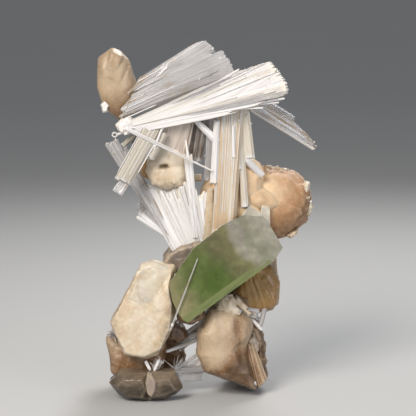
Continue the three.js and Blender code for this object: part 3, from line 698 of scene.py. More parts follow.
def apophyllite(name, shades, strip, absorbs, core=((0, 0, 0), 1.0, (0, 0, 0))):
    """Apophyllite: half-clear crystal faces with fine growth lines, colour in zones along the
    crystal (its tone runs 0 to 1 from end to end), a `core` (place, radius and colour), cloudy
    veils, and `strip`, the colour of the faces whose edge value is 1, streaked along the crystal:
    a painted glow on those faces."""
    cloud, vein = 9 * MM, 2.5 * MM
    streak = (12 * MM, 1.3 * MM, 1.3 * MM)
    relief = 0.06 * MM
    swayed = 0.3  # how far the clouds sway the zones
    at_radius = 0.06  # what is left of the core's colour at its radius
    material, tree, shader = mineral(name, glassy(0.1, 0.4, ior=1.535), absorbs)
    place = add(tree, "TexCoord")
    tone, face = (add(tree, "Attribute", attribute_name=key) for key in ("tone", "edge"))
    clouds = add(tree, "TexNoise", {"Vector": place.outputs["Object"], "Scale": 1 / cloud, "Detail": 2.0})
    sway = add(tree, "Math", {0: clouds, 1: swayed, 2: -swayed / 2}, operation="MULTIPLY_ADD")
    zone = add(tree, "Math", {0: tone.outputs["Fac"], 1: sway}, operation="ADD")
    body = add(tree, "ValToRGB", {"Fac": zone}, stops=shades)
    from_core = add(tree, "VectorMath", {
        0: place.outputs["Object"], 1: (np.array(core[0]) - CENTRE) * MM,
    }, operation="DISTANCE")
    away = add(tree, "Math", {0: from_core.outputs["Value"], 1: 1 / (core[1] * MM), 2: sway},
               operation="MULTIPLY_ADD")
    square = add(tree, "Math", {0: away, 1: away}, operation="MULTIPLY")
    strength = add(tree, "Math", {0: at_radius, 1: square}, operation="POWER")
    heart = add(tree, "Mix", {SHARE: strength, FIRST: body, SECOND: (*core[2], 1)}, data_type="RGBA")
    fine = add(tree, "TexNoise", {
        "Vector": place.outputs["Object"], "Scale": 1 / vein, "Detail": 6.0, "Roughness": 0.6,
    })
    wisps = add(tree, "ValToRGB", {"Fac": fine},
                stops=[(0.35, [0.85] * 3), (0.5, [1.0] * 3), (0.68, [1.3] * 3)])
    veined = add(tree, "Mix", {SHARE: 0.8, FIRST: heart.outputs[MIXED], SECOND: wisps},
                 data_type="RGBA", blend_type="MULTIPLY")
    drawn = add(tree, "Mapping", {
        "Vector": place.outputs["Object"], "Scale": streak,
        "Rotation": (0, -np.arctan2(GREEN_AXIS[2], GREEN_AXIS[0]), 0),
    }, vector_type="TEXTURE")
    streaks = add(tree, "TexNoise", {"Vector": drawn, "Scale": 1.0, "Detail": 3.0})
    bright = add(tree, "MapRange", {
        "Value": streaks, "From Min": 0.35, "From Max": 0.6, "To Min": 0.25, "To Max": 1.0,
    })
    glow_face = add(tree, "Math", {0: face.outputs["Fac"], 1: bright}, operation="MULTIPLY")
    colour = add(tree, "Mix", {SHARE: glow_face, FIRST: veined.outputs[MIXED], SECOND: (*strip, 1)},
                 data_type="RGBA")
    bump = add(tree, "Bump", {"Height": fine, "Strength": 0.3, "Distance": relief})
    tree.links.new(colour.outputs[MIXED], shader.inputs["Base Color"])
    tree.links.new(bump.outputs[0], shader.inputs["Normal"])
    return material


# Green apophyllite: a glassy prism, olive to moss green with a vivid green heart, fading through
# cloudy veils to a pale end. Its lower edge gets a painted glow: bright streaks that stand for the
# light that comes out of it there.
def green_apophyllite(c):
    return apophyllite("green_apophyllite", [
        (0.0, times(c.olive, 1.8)), (0.1, times(c.olive, 1.6)), (0.2, times(c.moss, 1.1)),
        (0.42, times(c.moss, 1.05)), (0.54, times(c.olive, 0.85)), (0.7, times(c.olive, 1.15)),
        (0.76, times(c.veil, 1.1)), (0.82, times(c.pale_green, 0.95)), (1.0, times(c.veil, 1.45)),
    ], c.fresh_green, (times(c.green, 4.0), 20.0), GREEN_CORE + (c.green,))


# Pale apophyllite: the same glassy faces over a near white, cloudy inside.
def pale_apophyllite(c):
    return apophyllite("pale_apophyllite", [(0.1, times(c.veil, 1.9)), (0.9, times(c.veil, 2.3))],
                       times(c.veil, 2), (times(c.veil, 1.8), 20.0))


# Matte painted board: pale and even, so that nothing but the shadow shows on it.
def studio_floor(c):
    material, tree, shader = mineral("studio_floor", {"Roughness": 0.9})
    place = add(tree, "TexCoord")
    mottle = add(tree, "TexNoise", {"Vector": place.outputs["Object"], "Scale": 3.0})
    colour = add(tree, "ValToRGB", {"Fac": mottle}, stops=[(0.2, times(c.floor, 0.97)), (0.8, c.floor)])
    tree.links.new(colour.outputs[0], shader.inputs["Base Color"])
    return material


def finish(make, c):
    """The material that `make` makes, made once."""
    return bpy.data.materials.get(make.__name__) or make(c)


# ---- Pieces ------------------------------------------------------------------------------------
# Each growing function takes c and s, the colours and sizes of the sidebar. Its numbers are places
# and lengths in millimetres. In a fan or a blade, the root edge comes before the tip edge.

CREASE = 40  # degrees; sharper creases of a stilbite stay sharp
GLASSY_CREASE = 30  # the same for the clear bow-tie


def in_scene(name, data):
    """A new object for a mesh, a light or a camera."""
    obj = bpy.data.objects.new(name, data)
    bpy.context.scene.collection.objects.link(obj)
    return obj


def forward(points, by):
    """Points moved to the front by this many millimetres."""
    return [(x, y - by, z) for x, y, z in points]


def piece(c, name, nodes, groups, smooth=0):
    """One mesh object from groups of (mineral, skins), in the row frame. It stands for CAD nodes."""
    skins = [s for _, group in groups for s in group]
    own = [number for number, (_, group) in enumerate(groups) for _ in group]
    count = np.cumsum([0] + [len(s["co"]) for s in skins])
    quads = [s["quads"] + n for s, n in zip(skins, count)]
    tris = [s["tris"] + n for s, n in zip(skins, count)]
    co = np.concatenate([s["co"] for s in skins])
    mesh = bpy.data.meshes.new(name)
    mesh.from_pydata(((co - CENTRE) * MM).tolist(), [],
                     np.concatenate(quads).tolist() + np.concatenate(tris).tolist())
    slots = np.concatenate([np.full(len(f), m) for part in (quads, tris) for f, m in zip(part, own)])
    mesh.polygons.foreach_set("material_index", slots.astype(np.int32))
    for key, kind, field in (("grain", "FLOAT_VECTOR", "vector"), ("tone", "FLOAT", "value"),
                             ("edge", "FLOAT", "value")):
        values = np.concatenate([s[key] for s in skins]).astype(np.float32)
        mesh.attributes.new(key, kind, "POINT").data.foreach_set(field, values.ravel())
    ready(c, name, mesh, [mineral for mineral, _ in groups], nodes, smooth)


def ready(c, name, mesh, minerals, nodes, smooth=0):
    """The object for a mesh, dressed and riding on the root body. Creases sharper than `smooth`
    degrees stay sharp, and with 0 all faces are flat."""
    for make in minerals:
        mesh.materials.append(finish(make, c))
    if smooth:
        mesh.shade_smooth()
        mesh.set_sharp_from_angle(angle=math.radians(smooth))
    mesh.validate()
    obj = in_scene(name, mesh)
    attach(obj, "root")
    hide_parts(*nodes)
    return obj


# ---- Scolecite ---------------------------------------------------------------------------------

MAIN_LEAN = (0.1, -1.0, 0.15)
MAIN_ROOTS = [(-24, -6, 83), (-25.4, -6, 80.4)]
MAIN_TIPS = [(8.4, -11, 97.9), (13.3, -11.5, 99.6), (18.3, -12, 101.2), (20.6, -12.4, 98.6),
             (23, -12.8, 95), (23.9, -13, 91.6)]


def grow_main_blade(c, s):
    """The broad white blade: fibres and finer needles that spread from a knob to a ragged end."""
    thick = s.main_blade / MM
    body = blade(MAIN_ROOTS, MAIN_TIPS, (2.4, thick), MAIN_LEAN, 11, columns=170, rows=30, groups=23,
                 relief=0.07, ragged=0.04, tone=(-0.8, 0.4))
    under = blade([(-24.6, -6.1, 81.4), (-21, -6, 79.5)],
                  [(21.6, -12, 91.2), (15, -11.4, 88.4), (8, -10.6, 86), (2, -9.8, 84.4)], (2, 2.8),
                  MAIN_LEAN, 17, columns=80, groups=9, ragged=0.12)
    needles = fan([(-11, -8, 89), (-5.7, -8.8, 84.9)], MAIN_TIPS, 22, (0.25, 0.5), (2.5, thick + 0.05),
                  MAIN_LEAN, 13, shorten=0.5, ridge=0.08, chisel=0.6, blunt=0.7)
    slivers = prisms(
        [(6, -10.8, 87.6), (10, -11.2, 88.4), (4, -10.6, 87)],
        [(22.2, -12.7, 90.4), (20.6, -12.2, 89.2), (16, -11.8, 87.6)],
        (0.5, 0.6), 0.5, MAIN_LEAN, 21, bow=(0.3, -0.4, 0.2),
    )
    notch = prisms([(2, -11.2, 94.6), (4, -11.4, 95.6)], [(9, -11.6, 98.8), (10, -11.9, 98.4)], 0.7, 0.8,
                   MAIN_LEAN, 22, chisel=1.5)
    chips = crumbs(scattered([body], 26, 23, (8, -16, 88), (26, -9, 102)), 0.7, 25)
    knob = tablet(
        [(-27, 81.8), (-25.8, 83.7), (-22.5, 84.2), (-21, 81), (-23, 79.6), (-26, 80)], -8.2, -3.6, 0.9, 1.2,
        around=64, step=0.3, relief=lambda p: facets(p, 30, 0.2, 27) + 0.1 * waves(p, 1.6, 29), tone=0.9,
    )
    piece(c, "main_blade", ["scolecite_main_blade"],
          [(silky_scolecite, [body, under, needles, slivers, notch, chips, knob])])


def grow_upper_fan(c, s):
    """The clear blades behind the main one, in two lobes chipped at their upper right ends, with
    white needles along them."""
    facing = (-0.1, -1, 0.2)
    thick = s.upper_blades / MM
    body = [
        blade([(-20.6, 1.2, 95.3), (-22.8, -0.2, 90.2)],
              [(-5, 3, 105), (-2.4, 3, 106), (-0.5, 3, 106.3), (1.4, 3, 104.8), (2.6, 3, 102.6)],
              thick, facing, 31, columns=90, groups=9, relief=0.16, ragged=0.03,
              tone=(-0.4, 0.4), rise=1.1),
        blade([(-22.4, -0.4, 91.2), (-25.8, -3, 83.2)],
              [(2.8, 2.2, 103), (4.4, 2.2, 103.4), (6.4, 2.2, 101.2), (7.8, 2.2, 98), (8.4, 2, 95.6)],
              thick, facing, 33, columns=110, groups=12, relief=0.16, ragged=0.03,
              tone=(-0.4, 0.4), rise=1.1),
        blade([(-19.5, 4.4, 93.6), (-22.4, 2, 84.4)], [(-5, 6.5, 103.4), (1.5, 6.5, 102.6), (6.4, 5.5, 97)],
              thick, facing, 35, columns=80, groups=6, relief=0.2, ragged=0.05),
        plank((-21.6, -1.2, 92.4), (1.6, 0.9, 102.6), (1.8, 2.6), (1.4, 1.2), 4, facing, 37, ragged=0.1),
        plank((-23.4, -2.6, 87.2), (3, 0.4, 98), (1.6, 2.4), (1.4, 1.2), 4, facing, 38, ragged=0.1),
        *(plank(root, tip, wide, 1.2, 3, facing, seed, tone=(-0.4, 0.4)) for root, tip, wide, seed in (
            ((-25.6, -2.4, 85.8), (-12, 0.4, 99.6), (1.4, 2.4), 36),
            ((-23.8, -2.2, 91), (-14, 0.6, 98), (1, 1.8), 34),
            ((-26, -3, 83.8), (-12, -0.6, 93.6), (1.4, 2.4), 32))),
    ]
    needles = fan([(-20.8, -1, 94.4), (-25, -4.8, 83.6)], [(-8, 0.4, 101.6), (4, 0.2, 96)], 9, (0.15, 0.35),
                  0.5, facing, 39, shorten=0.7, ridge=0.3)
    chips = crumbs(scattered(body[:2], 40, 41, (-4, -3, 94), (12, 4, 108)), 0.8, 43)
    piece(c, "upper_fan", ["scolecite_upper_fan"],
          [(clear_scolecite, body), (silky_scolecite, [needles, chips])])


def grow_right_spike(c, s):
    """The stout spike that points down to the right, with white fibres along it and a shorter
    crystal that ends as a bump on its upper edge."""
    lean = (0.2, -1, 0.3)
    thick = s.spike / MM
    roots = [(9.4, -6.5, 93.6), (11.4, -6, 87)]
    tips = [(24.6, -1, 83.3), (28.3, 0.5, 79.8), (32, 1.6, 75.9), (32.7, 1.8, 74.4), (31.8, 1.6, 73.6)]
    body = [
        blade(roots, tips, (thick, 2.4), lean, 51, columns=90, groups=9, relief=0.25, ragged=0.02,
              chisel=1.6),
        plank((12.6, -5.4, 91.4), (25.6, -0.9, 83.2), (2.2, 1.8), (3.4, 2.8), 3, lean, 53, ragged=0.02,
              chisel=1),
        plank((10, -6.4, 88.8), (30.2, 0.8, 75.8), (1.8, 1.6), (3.9, 2.7), 3, lean, 54, ragged=0.1, chisel=2),
    ]
    white = [
        fan([(9.4, -8.1, 93.2), (11.2, -7.6, 87.6)], [(25, -2.2, 82.8), (31.4, 0.5, 76), (31.4, 0.5, 74)], 13,
            (0.2, 0.5), (0.6, 0.5), lean, 55, shorten=0.5, ridge=0.3),
        plank((11.6, -6.2, 87.3), (32, 1.2, 73.9), (0.7, 0.8), (3.6, 2.5), 2, lean, 57),
        crumbs([(25.4, -1, 83.4), (31.6, 1, 76.2), (32.3, 1.2, 75.2)], 0.7, 63),
    ]
    piece(c, "right_spike", ["scolecite_right_spike"],
          [(clear_scolecite, body), (silky_scolecite, white)])


def grow_upright_blades(c, s):
    """Clear upright blades over the peach crystals, white ones at their left and top right."""
    thick = s.upright_blades / MM
    body = [
        blade([(3.2, -6, 91), (11, -5.6, 91)], [(1.2, -5.8, 49.3), (8, -5.2, 49)], thick, FRONT,
              71, columns=100, groups=9, relief=0.18, ragged=0.02, tone=(0.1, 1), rise=-0.9),
        plank((10.2, -5.4, 91), (12.2, -3.6, 71.2), (2.8, 3.6), (3, 2.4), 6, FRONT, 75, ragged=0.04),
        plank((9.2, -5.6, 90), (9.4, -5, 68.6), 1.8, 3, 3, FRONT, 77),
        plank((8.8, -5, 86), (11, -4, 57.2), 2.2, 2, 3, FRONT, 79),
    ]
    white = [
        plank((2.6, -7.4, 83.5), (1.7, -6.8, 64.4), (1.8, 2.4), 2.2, 4, FRONT, 81, ragged=0.06),
        plank((-3.6, -6.6, 83.4), (3.2, -7, 76.8), (1.6, 2.4), 2, 4, FRONT, 83, ragged=0.1),
        plank((7.4, -7.7, 82), (7.6, -7.3, 72.2), (0.7, 1.1), 1, 2, FRONT, 85, ragged=0.1),
        fan([(3.4, -7.5, 90), (10, -7.2, 91)], [(2.2, -7.2, 56), (7.4, -6.6, 55)], 9, (0.2, 0.4), 0.6,
            FRONT, 87, shorten=0.8, ridge=0.2),
        crumbs(scattered(body, 16, 89, (8, -8, 82), (13, -3, 91)), 0.9, 91),
    ]
    piece(c, "upright_blades", ["scolecite_upright_blades"],
          [(warm_scolecite, body), (silky_scolecite, white)])


def grow_inner_blades(c, s):
    """Blades that show below the main blade: beige ones, a dark clear one and a grey one."""
    roots = [(-11.8, -5.2, 86.6), (-3.4, -5.6, 87.2)]
    tips = [(-17, -2, 74.6), (-13, -2, 73), (-6.4, -2, 72.2)]
    beige = [
        blade(roots, tips, 2.6, FRONT, 101, columns=90, groups=13, relief=0.2, ragged=0.1),
        fan(forward(roots, 1.2), forward(tips, 1.2), 12, (0.3, 0.6), 0.5, FRONT, 103, shorten=0.4, ridge=0.2),
    ]
    dark = [
        plank((-3.2, -5.2, 87.4), (-5.6, -1.6, 72.4), (2.4, 2.6), 2.2, 5, FRONT, 105),
        plank((-0.8, -5.4, 87.6), (-3.4, -2, 70.8), (3.2, 3), 2, 5, FRONT, 107),
    ]
    grey = [plank((1.4, -5.2, 88), (-0.2, -3, 65.2), (2.6, 2), 2, 5, FRONT, 109, relief=0.5)]
    grey.append(crumbs(scattered(grey, 18, 111, (-2, -6, 64), (3, -2, 82)), 0.6, 113))
    piece(c, "inner_blades", ["scolecite_inner_blades"],
          [(beige_scolecite, beige), (shaded_scolecite, dark), (clear_scolecite, grey)])


def grow_white_spray(c, s):
    """The radiating white needles at the left, with their long grey blades and lone needles."""
    foot = [(-10.2, -3.4, 43.4), (-5, -3.6, 45.2), (-0.8, -3.8, 47)]
    tips = [(-22.4, 1, 65.6), (-19.8, 1, 63.6), (-15, 0, 62.6), (-10.8, -1.4, 62.8), (-6.8, -3.4, 66),
            (-4, -4, 63)]
    thick = s.spray_needle / MM
    white = [
        blade(foot, tips, thick, FRONT, 119, columns=90, groups=17, relief=0.25, ragged=0.3),
        fan(foot, tips, 15, (0.8, 1.2), thick, FRONT, 121, shorten=0.1, ridge=1, irregular=0.2),
        fan(foot, tips, 50, (0.3, 0.8), (1, thick + 0.4), FRONT, 123, shorten=0.4, ridge=1.8),
        plank((-1, -4, 46), (-2.2, -3.6, 62.4), (2.6, 5), 2, 6, FRONT, 124, ragged=0.12, relief=0.2),
        plank((-3.6, -4.4, 48), (-6, -5, 73.6), (2, 2.6), 1.6, 5, FRONT, 125, ragged=0.08),
        prisms((-4.4, -4.6, 62), (-6.6, -5.2, 77.4), (1.6, 0.9), 1.2, seed=127, chisel=4),
        prisms([(-8, -3.2, 45.6), (-8, -2.4, 46.2), (-8.4, -2.9, 46)],
               [(-21.2, -2, 54.2), (-20.4, 0.6, 57.4), (-20.6, -1.2, 55.2)], (1, 1.3), 1.1, seed=129,
               chisel=0.6),
    ]
    grey = [
        plank((-9.4, -3, 44), (-29.2, 2, 76.6), (1.8, 4.2), (2, 3), 6, FRONT, 133, ragged=0.03, relief=0.5),
        plank((-8.4, -2.4, 44.8), (-26.4, 2.2, 74.6), (1.8, 3.6), (2, 2.6), 6, FRONT, 135, ragged=0.05,
              relief=0.5),
    ]
    chips = crumbs(scattered(grey, 26, 137, (-32, -2, 68), (-22, 5, 78)), 0.7, 139)
    piece(c, "white_spray", ["scolecite_white_spray"],
          [(silky_scolecite, [*white, chips]), (clear_scolecite, grey)])


def grow_diagonal_blade(c, s):
    """The flat cream-white blade in front, with white needles on it and a glassy pointed end."""
    facing = (-0.2, -1, 0.15)
    roots, tips = [(-17.8, -6.2, 84), (-12.8, -6.2, 81.6)], [(-27.6, -10, 66.4), (-22.8, -10, 64.4)]
    cream = [
        blade(roots, tips, 2, facing, 141, columns=80, groups=11, relief=0.12, ragged=0.03,
              tone=(0.6, 1.2)),
        plank((-13, -6.2, 80), (-17.6, -7.8, 72.2), 3.2, 1.8, 6, facing, 145, ragged=0.06, relief=0.12,
              tone=(0.6, 1.2)),
    ]
    white = [
        fan(forward(roots, 1), forward(tips, 1), 3, (0.1, 0.2), 0.3, facing, 143, shorten=0.3, ridge=0.2),
        prisms((-13, -7.4, 82.4), (-15.9, -8.3, 75), 0.7, 0.8, facing, 144, chisel=1),
    ]
    point = [plank((-16.4, -7.2, 77.2), (-26.8, -9.9, 62.2), (2.4, 3.4), (1.6, 1.4), 4, facing, 147,
                   ragged=0.02, relief=0.5)]
    piece(c, "diagonal_blade", ["scolecite_diagonal_blade"],
          [(stained_scolecite, cream), (silky_scolecite, white), (clear_scolecite, point)])


def grow_lone_needles(c, s):
    """The long needle, the hair needle before the green crystal, and the short rod."""
    fine, hair, rod = (size / MM for size in (s.long_needle, s.hair_needle, s.rod))
    piece(c, "long_needle", ["scolecite_long_needle"], [(silky_scolecite, [
        prisms([(-23.6, -8.3, 80.8), (-23.4, -8.4, 81.2)], [(1.3, -8.7, 68.8), (-9, -8.9, 74.4)],
               [(fine, 0.6 * fine), (0.8 * fine, 0.3 * fine)], fine, seed=151, chisel=2),
        crumbs([(-3.4, -8.6, 71.2), (-2.6, -8.7, 70.6)], 0.7, 153),
    ])])
    piece(c, "hair_needle", ["scolecite_hair_needle"], [(clear_scolecite, [
        prisms((-11.1, -16.6, 22.5), (-3, -13.3, 43.4), (0.7 * hair, 0.5 * hair), 0.6 * hair, seed=155,
               chisel=2),
    ]), (silky_scolecite, [
        crumbs([(-10.9, -16.4, 23.1), (-10.5, -16.3, 24.2), (-11.2, -16.2, 22.6)], 0.8, 157),
    ])])
    piece(c, "short_rod", ["scolecite_short_rod"], [(silky_scolecite, [
        plank((11, -4.2, 71.8), (16.4, -0.6, 66.2), rod, rod, 4, FRONT, 159, ragged=0.06),
    ])])


def grow_low_needles(c, s):
    """Needles between the clear bow-tie and the right foot, and in the hollow between the feet."""
    piece(c, "low_needles", ["scolecite_low_needles"], [(clear_scolecite, [
        plank((-14, -5, 7.4), (-0.6, 1, 7), (2, 2.4), 1.6, 4, FRONT, 161, ragged=0.06),
        plank((-14, -5, 4.8), (-1.6, 1, 4.6), (2, 2.4), 1.6, 4, FRONT, 163, ragged=0.08),
    ]), (silky_scolecite, [
        prisms([(-10, -3.6, 7), (-8.8, -3, 6.4), (-5, -0.4, 5.6)], [(-2.6, 1.6, 11.6), (-1.8, 1.4, 10.4),
               (-1.4, 1, 10.4)], 1.1, 1, seed=165, chisel=1.5),
    ])])
    piece(c, "hollow_needles", ["scolecite_hollow_needles"], [(silky_scolecite, [
        prisms((-12.5, -3.4, 13.2), (-2.4, 2.4, 15.8), 1.1, 1, seed=175),
    ]), (clear_scolecite, [
        plank((-9.4, 2, 13.2), (-2, 3.6, 18.6), 3, 2.2, 5, FRONT, 177, ragged=0.15),
        plank((-9, 2.6, 15.6), (-1.8, 3.8, 20.4), 2, 2, 4, FRONT, 179, ragged=0.15),
    ])])


# ---- Stilbite ----------------------------------------------------------------------------------

def uneven(seed, swell=0.2, size=8.0, lean=0.03, count=120):
    """The relief of a stilbite: broad swells `size` millimetres across and `swell` high, smaller
    ones on them, and small growth faces, joined by steeper ones from y 4 to y 8 and behind."""
    return lambda p: (swell * waves(p, size, seed) + 0.3 * swell * waves(p, size / 3, seed + 1)
                      + facets(p, count, lean, seed + 2)
                      + np.clip((p[..., 1] - 4) / 4, 0, 1) * facets(p, count // 3, 0.07, seed + 3))


def grow_stilbite_upper_left(c, s):
    """The smooth tooth-like crystal at the top left: a rounded body under a flatter chisel end."""
    relief = uneven(201, 0.25, 9, 0.02, 30)
    # Painted light and shade: darker towards the bottom, lightest at z 95, and a little darker at the top,
    # against the highlight the lamp puts there.
    shade = graded((82, 0), (88, 0.35), (95, 0.65), (103, 0.45))
    piece(c, "stilbite_upper_left", ["stilbite_upper_left"], [(tan_stilbite, [
        tablet([(-28.5, 104.4), (-25.5, 103), (-23.6, 100.6), (-22.6, 97), (-21, 92), (-21, 87), (-23, 83),
                (-26.4, 81.8), (-29.2, 84.6), (-31.6, 87), (-33, 93), (-33, 97.5), (-32.4, 101.2)],
               -0.5, 9.5, 2.6, 3, True, (0.1, -0.05), crown=0.8, soften=8, relief=relief, tone=shade),
        tablet([(-31.5, 100.4), (-28.6, 103.8), (-25.2, 102.4), (-24.4, 97), (-25, 90), (-29, 87), (-32, 92)],
               -0.9, 8, 2.4, 1.8, True, (0.1, -0.12), crown=0.3, soften=10, relief=relief, tone=shade),
    ]), (silky_scolecite, [
        tablet([(-32, 87.4), (-30.8, 88.6), (-29.4, 87.4), (-29.8, 85.4), (-31.4, 85)], -0.4, 5, 0.6, 0.8,
               around=48, step=0.3, relief=uneven(204, 0.15, 2)),
    ])], smooth=CREASE)


def grow_stilbite_centre(c, s):
    """The cream double lump in the middle of the needles, with a dark slit between its halves."""
    lumpy = uneven(211, 0.2, 6, 0.04, 90)

    def relief(p):
        return (lumpy(p) + groove(p, (-17, 69.2), (-6, 69.6), 2, 0.4)
                + groove(p, (-14, 69.6), (-12.4, 69.6), 1, 1.6))

    # Painted light and shade: darker in the slit between the halves, and lighter towards the top, which lies
    # in the shadow of the blades above.
    def shade(p):
        return 0.5 + 0.5 * groove(p, (-14.2, 69.6), (-12.2, 69.6), 1.8, 1.6) + 0.06 * (p[..., 2] - 67)

    piece(c, "stilbite_centre", ["stilbite_centre"], [(cream_stilbite, [
        tablet([(-18.6, 70.4), (-16.4, 75), (-13, 76.6), (-8, 76), (-5.6, 73), (-5.6, 69.4), (-5.4, 66),
                (-7.4, 63), (-12.6, 62.2), (-16.8, 63.8), (-18.6, 67.4)], -4, 8, 1.8, 2.4, True, (0, 0.06),
               crown=0.6, relief=relief, around=176, tone=shade),
        plank((-8, 2, 65.4), (-1.8, 2.4, 65.4), 2, 2, 3, FRONT, 217),
    ]), (amber_stilbite, [
        tablet([(-20.4, 68.4), (-19, 72), (-17, 71.6), (-16.4, 67), (-17.6, 64.6), (-19.6, 65.8)], -2, 6,
               1.2, 2, True, around=80, step=0.4, relief=lumpy, tone=0.6),
    ])], smooth=CREASE)


def grow_stilbite_right(c, s):
    """The large peach sheaf at the right: two rounded bodies with a low tongue in front."""
    smooth_one = uneven(221, 0.25, 12, 0.025, 90)

    def relief(p):
        return smooth_one(p) + ledges(p, (1, 0, 0.6), 3.2, 0.05, 227) + 0.05 * waves(p, 2.4, 228)

    # Painted light and shade: darker at the bottom and towards the right, lightest near z 62, and darker
    # again at the top, against the highlight the lamp puts there.
    def shade(p):
        return (np.interp(p[..., 2], (45, 50, 56, 62, 66, 68), (-0.6, -0.1, 0.5, 0.8, 0.5, -0.2))
                - 0.07 * np.clip(p[..., 0] - 22, -8, 10))

    sheaf = tablet([(13, 66), (18, 68), (25, 66.4), (28.4, 64), (30.8, 61), (31.8, 55.6), (30, 51),
                    (25, 47.2), (20.8, 45.6), (14.4, 46.4), (12, 56)], 1.4, 21.5, 4.2, 6, True, (0.12, 0),
                   crown=1.4, soften=9, relief=relief, around=176, tone=shade)
    rim = [crumbs(scattered([sheaf], 50, 241, (14, 2, 66.6), (34, 14, 72)), 0.9, 243),
           crumbs(scattered([sheaf], 50, 245, (29.8, 2, 46), (34, 14, 66)), 0.9, 247)]
    chips = [  # small tablets on its right edge: outline, front, back, inset, bevel, seed and tone
        ([(28.8, 62.6), (29.6, 63.7), (30.8, 63.4), (30.7, 61.6), (29.9, 60), (28.6, 60.6)],
         5.4, 10, 0.6, 1, 235, 0.75),
        ([(30.2, 57.4), (31.4, 57), (31.9, 55.6), (31.2, 53.4), (30, 53), (29.4, 55)],
         6.4, 11, 0.6, 1, 236, 0.5),
        ([(25, 48.6), (27.4, 49.4), (27, 47.6), (25.2, 46.4), (23.6, 47)], 4, 9, 0.8, 1.2, 237, 0.3),
    ]
    piece(c, "stilbite_right", ["stilbite_right"], [(peach_stilbite, [
        sheaf,
        # Painted light: tone 1.1 lifts this body, which lies in shade between the spray and the upright
        # blades.
        tablet([(-2, 62), (1, 65), (4.4, 70.6), (9, 71.2), (13.4, 71.6), (16.6, 68.6), (17.6, 58),
                (16.5, 47.4), (9.5, 46.4), (2, 45.4), (-2, 45.4), (-2.6, 54)], -2.6, 15, 3, 4.5, True,
               (0.05, 0), crown=1, soften=5, relief=relief, tone=1.1),
        tablet([(11, 60.4), (13.4, 62.9), (14.9, 63.2), (17.3, 62.6), (20.3, 60.6), (22.2, 58.6), (22, 56.6),
                (19.1, 55.6), (15, 56), (12, 57.6)], -2.2, 8, 2.4, 2.2, True, (0.36, 0.12), crown=0.4,
               soften=6, relief=relief, around=96, tone=0.9),
        plank((12, 6, 60), (6, 19, 66), (12, 9), (9, 6), 5, (0.3, 0, 1), 231, chisel=3),
        plank((13, 6, 57), (13.6, 20, 51), (12, 9), (9, 6), 5, (-0.2, 0.3, 1), 233, chisel=3),
    ]), (cream_stilbite, [
        *rim,
        plank((0.8, -3.6, 63), (-0.2, -3.6, 45), (3, 5.2), 3, 3, FRONT, 234, relief=0.1, tone=(0, 0.5)),
        *(tablet(*form, around=56, step=0.3, relief=uneven(seed, 0.12, 1.6, 0.1, 30), tone=tone)
          for *form, seed, tone in chips),
    ]), (silky_scolecite, [
        crumbs([(29.8, 6.4, 63), (30.6, 6.8, 62.4), (31, 6.8, 57.4)], 0.8, 239),
    ])], smooth=CREASE)


def grow_stilbite_front_left(c, s):
    """The large cream tablet: a broad face tilted up above a blunt ridge, its lower face turned
    under, and a thinner layer on its upper half."""
    rim = [(-18.6, -9, 42), (-16, -9, 42.2), (-9.6, -9, 41), (-9, -9, 39.4), (-11, -9, 36), (-9.2, -9, 26.8),
           (-10.2, -9, 22), (-13.4, -9, 16), (-15, -9, 13), (-19, -9, 12.4), (-25, -9, 13.4),
           (-29.4, -9, 23.4), (-20.6, -9, 40)]
    face = [(-17.6, -11.6, 40.4), (-10.6, -11.8, 39.4), (-11.6, -13.4, 35), (-10.6, -13.8, 27.6),
            (-11.4, -14.2, 22.4), (-14, -14, 16.2), (-19.2, -13.8, 14), (-24.4, -13.4, 15),
            (-28.6, -12.4, 23.6), (-20.8, -11.8, 39)]
    back = [(-18, -4, 39.6), (-12, -4, 37.6), (-12, -3, 25), (-15.6, -3, 16), (-24, -3, 16.4),
            (-27.4, -3.4, 24)]
    relief = uneven(241, 0.14, 6, 0.02, 90)

    # Painted light and shade: lightest at mid height, darker towards its sides, the right one most.
    def shade(p):
        off = p[..., 0] + 14 + 0.2 * (40 - p[..., 2])  # from the middle line, which leans
        return (np.interp(p[..., 2], (13, 22, 42), (0.5, 0.7, 0.55))
                - 0.16 * np.clip(off - 2, 0, 4) - 0.08 * np.clip(-off - 5, 0, 6))

    piece(c, "stilbite_front_left", ["stilbite_front_left"], [(cream_stilbite, [
        lump([face, rim, back], around=200, crown=0.5, relief=relief, tone=shade),
        tablet([(-20, 41), (-16.4, 41.8), (-11.6, 40.6), (-11.6, 31), (-20, 28.6), (-24, 31)], -12.2, -5, 1,
               0.9, False, (0, 0.14), relief=relief, tone=shade),
    ])], smooth=CREASE)


def grow_stilbite_back_left(c, s):
    """The brownish crystal behind and below the cream tablet, with its hidden heel."""
    relief = uneven(251, 0.25, 7, 0.04)
    # Painted shade: darker towards the bottom.
    shade = graded((4, 0), (10, 0.2), (16, 0.4))
    piece(c, "stilbite_back_left", ["stilbite_back_left"], [(tan_stilbite, [
        tablet([(-31, 16.6), (-30, 11), (-29, 6.5), (-27.4, 4), (-20, 2.6), (-13.5, 5.6), (-12.6, 15),
                (-18, 21), (-27, 21)], -5, 9, 2.4, 3, True, (0.05, 0.1),
               crown=0.5, relief=relief, tone=shade),
        plank((-20, 0, 14), (-22, 17.5, 1), (13, 9), (12, 8), 6, (0.3, -1, -0.6), 257, chisel=4),
        plank((-22, 1, 11), (-27.6, 15, 15.4), (10, 7), (8, 5), 5, (1, 0, 0.5), 259, chisel=3),
        tablet([(-16, 17), (-17, 7), (-12, 4), (-7, 8), (-8, 15), (-11, 19)], 1.5, 13, 2, 3, relief=relief,
               tone=0.1),
    ])], smooth=CREASE)


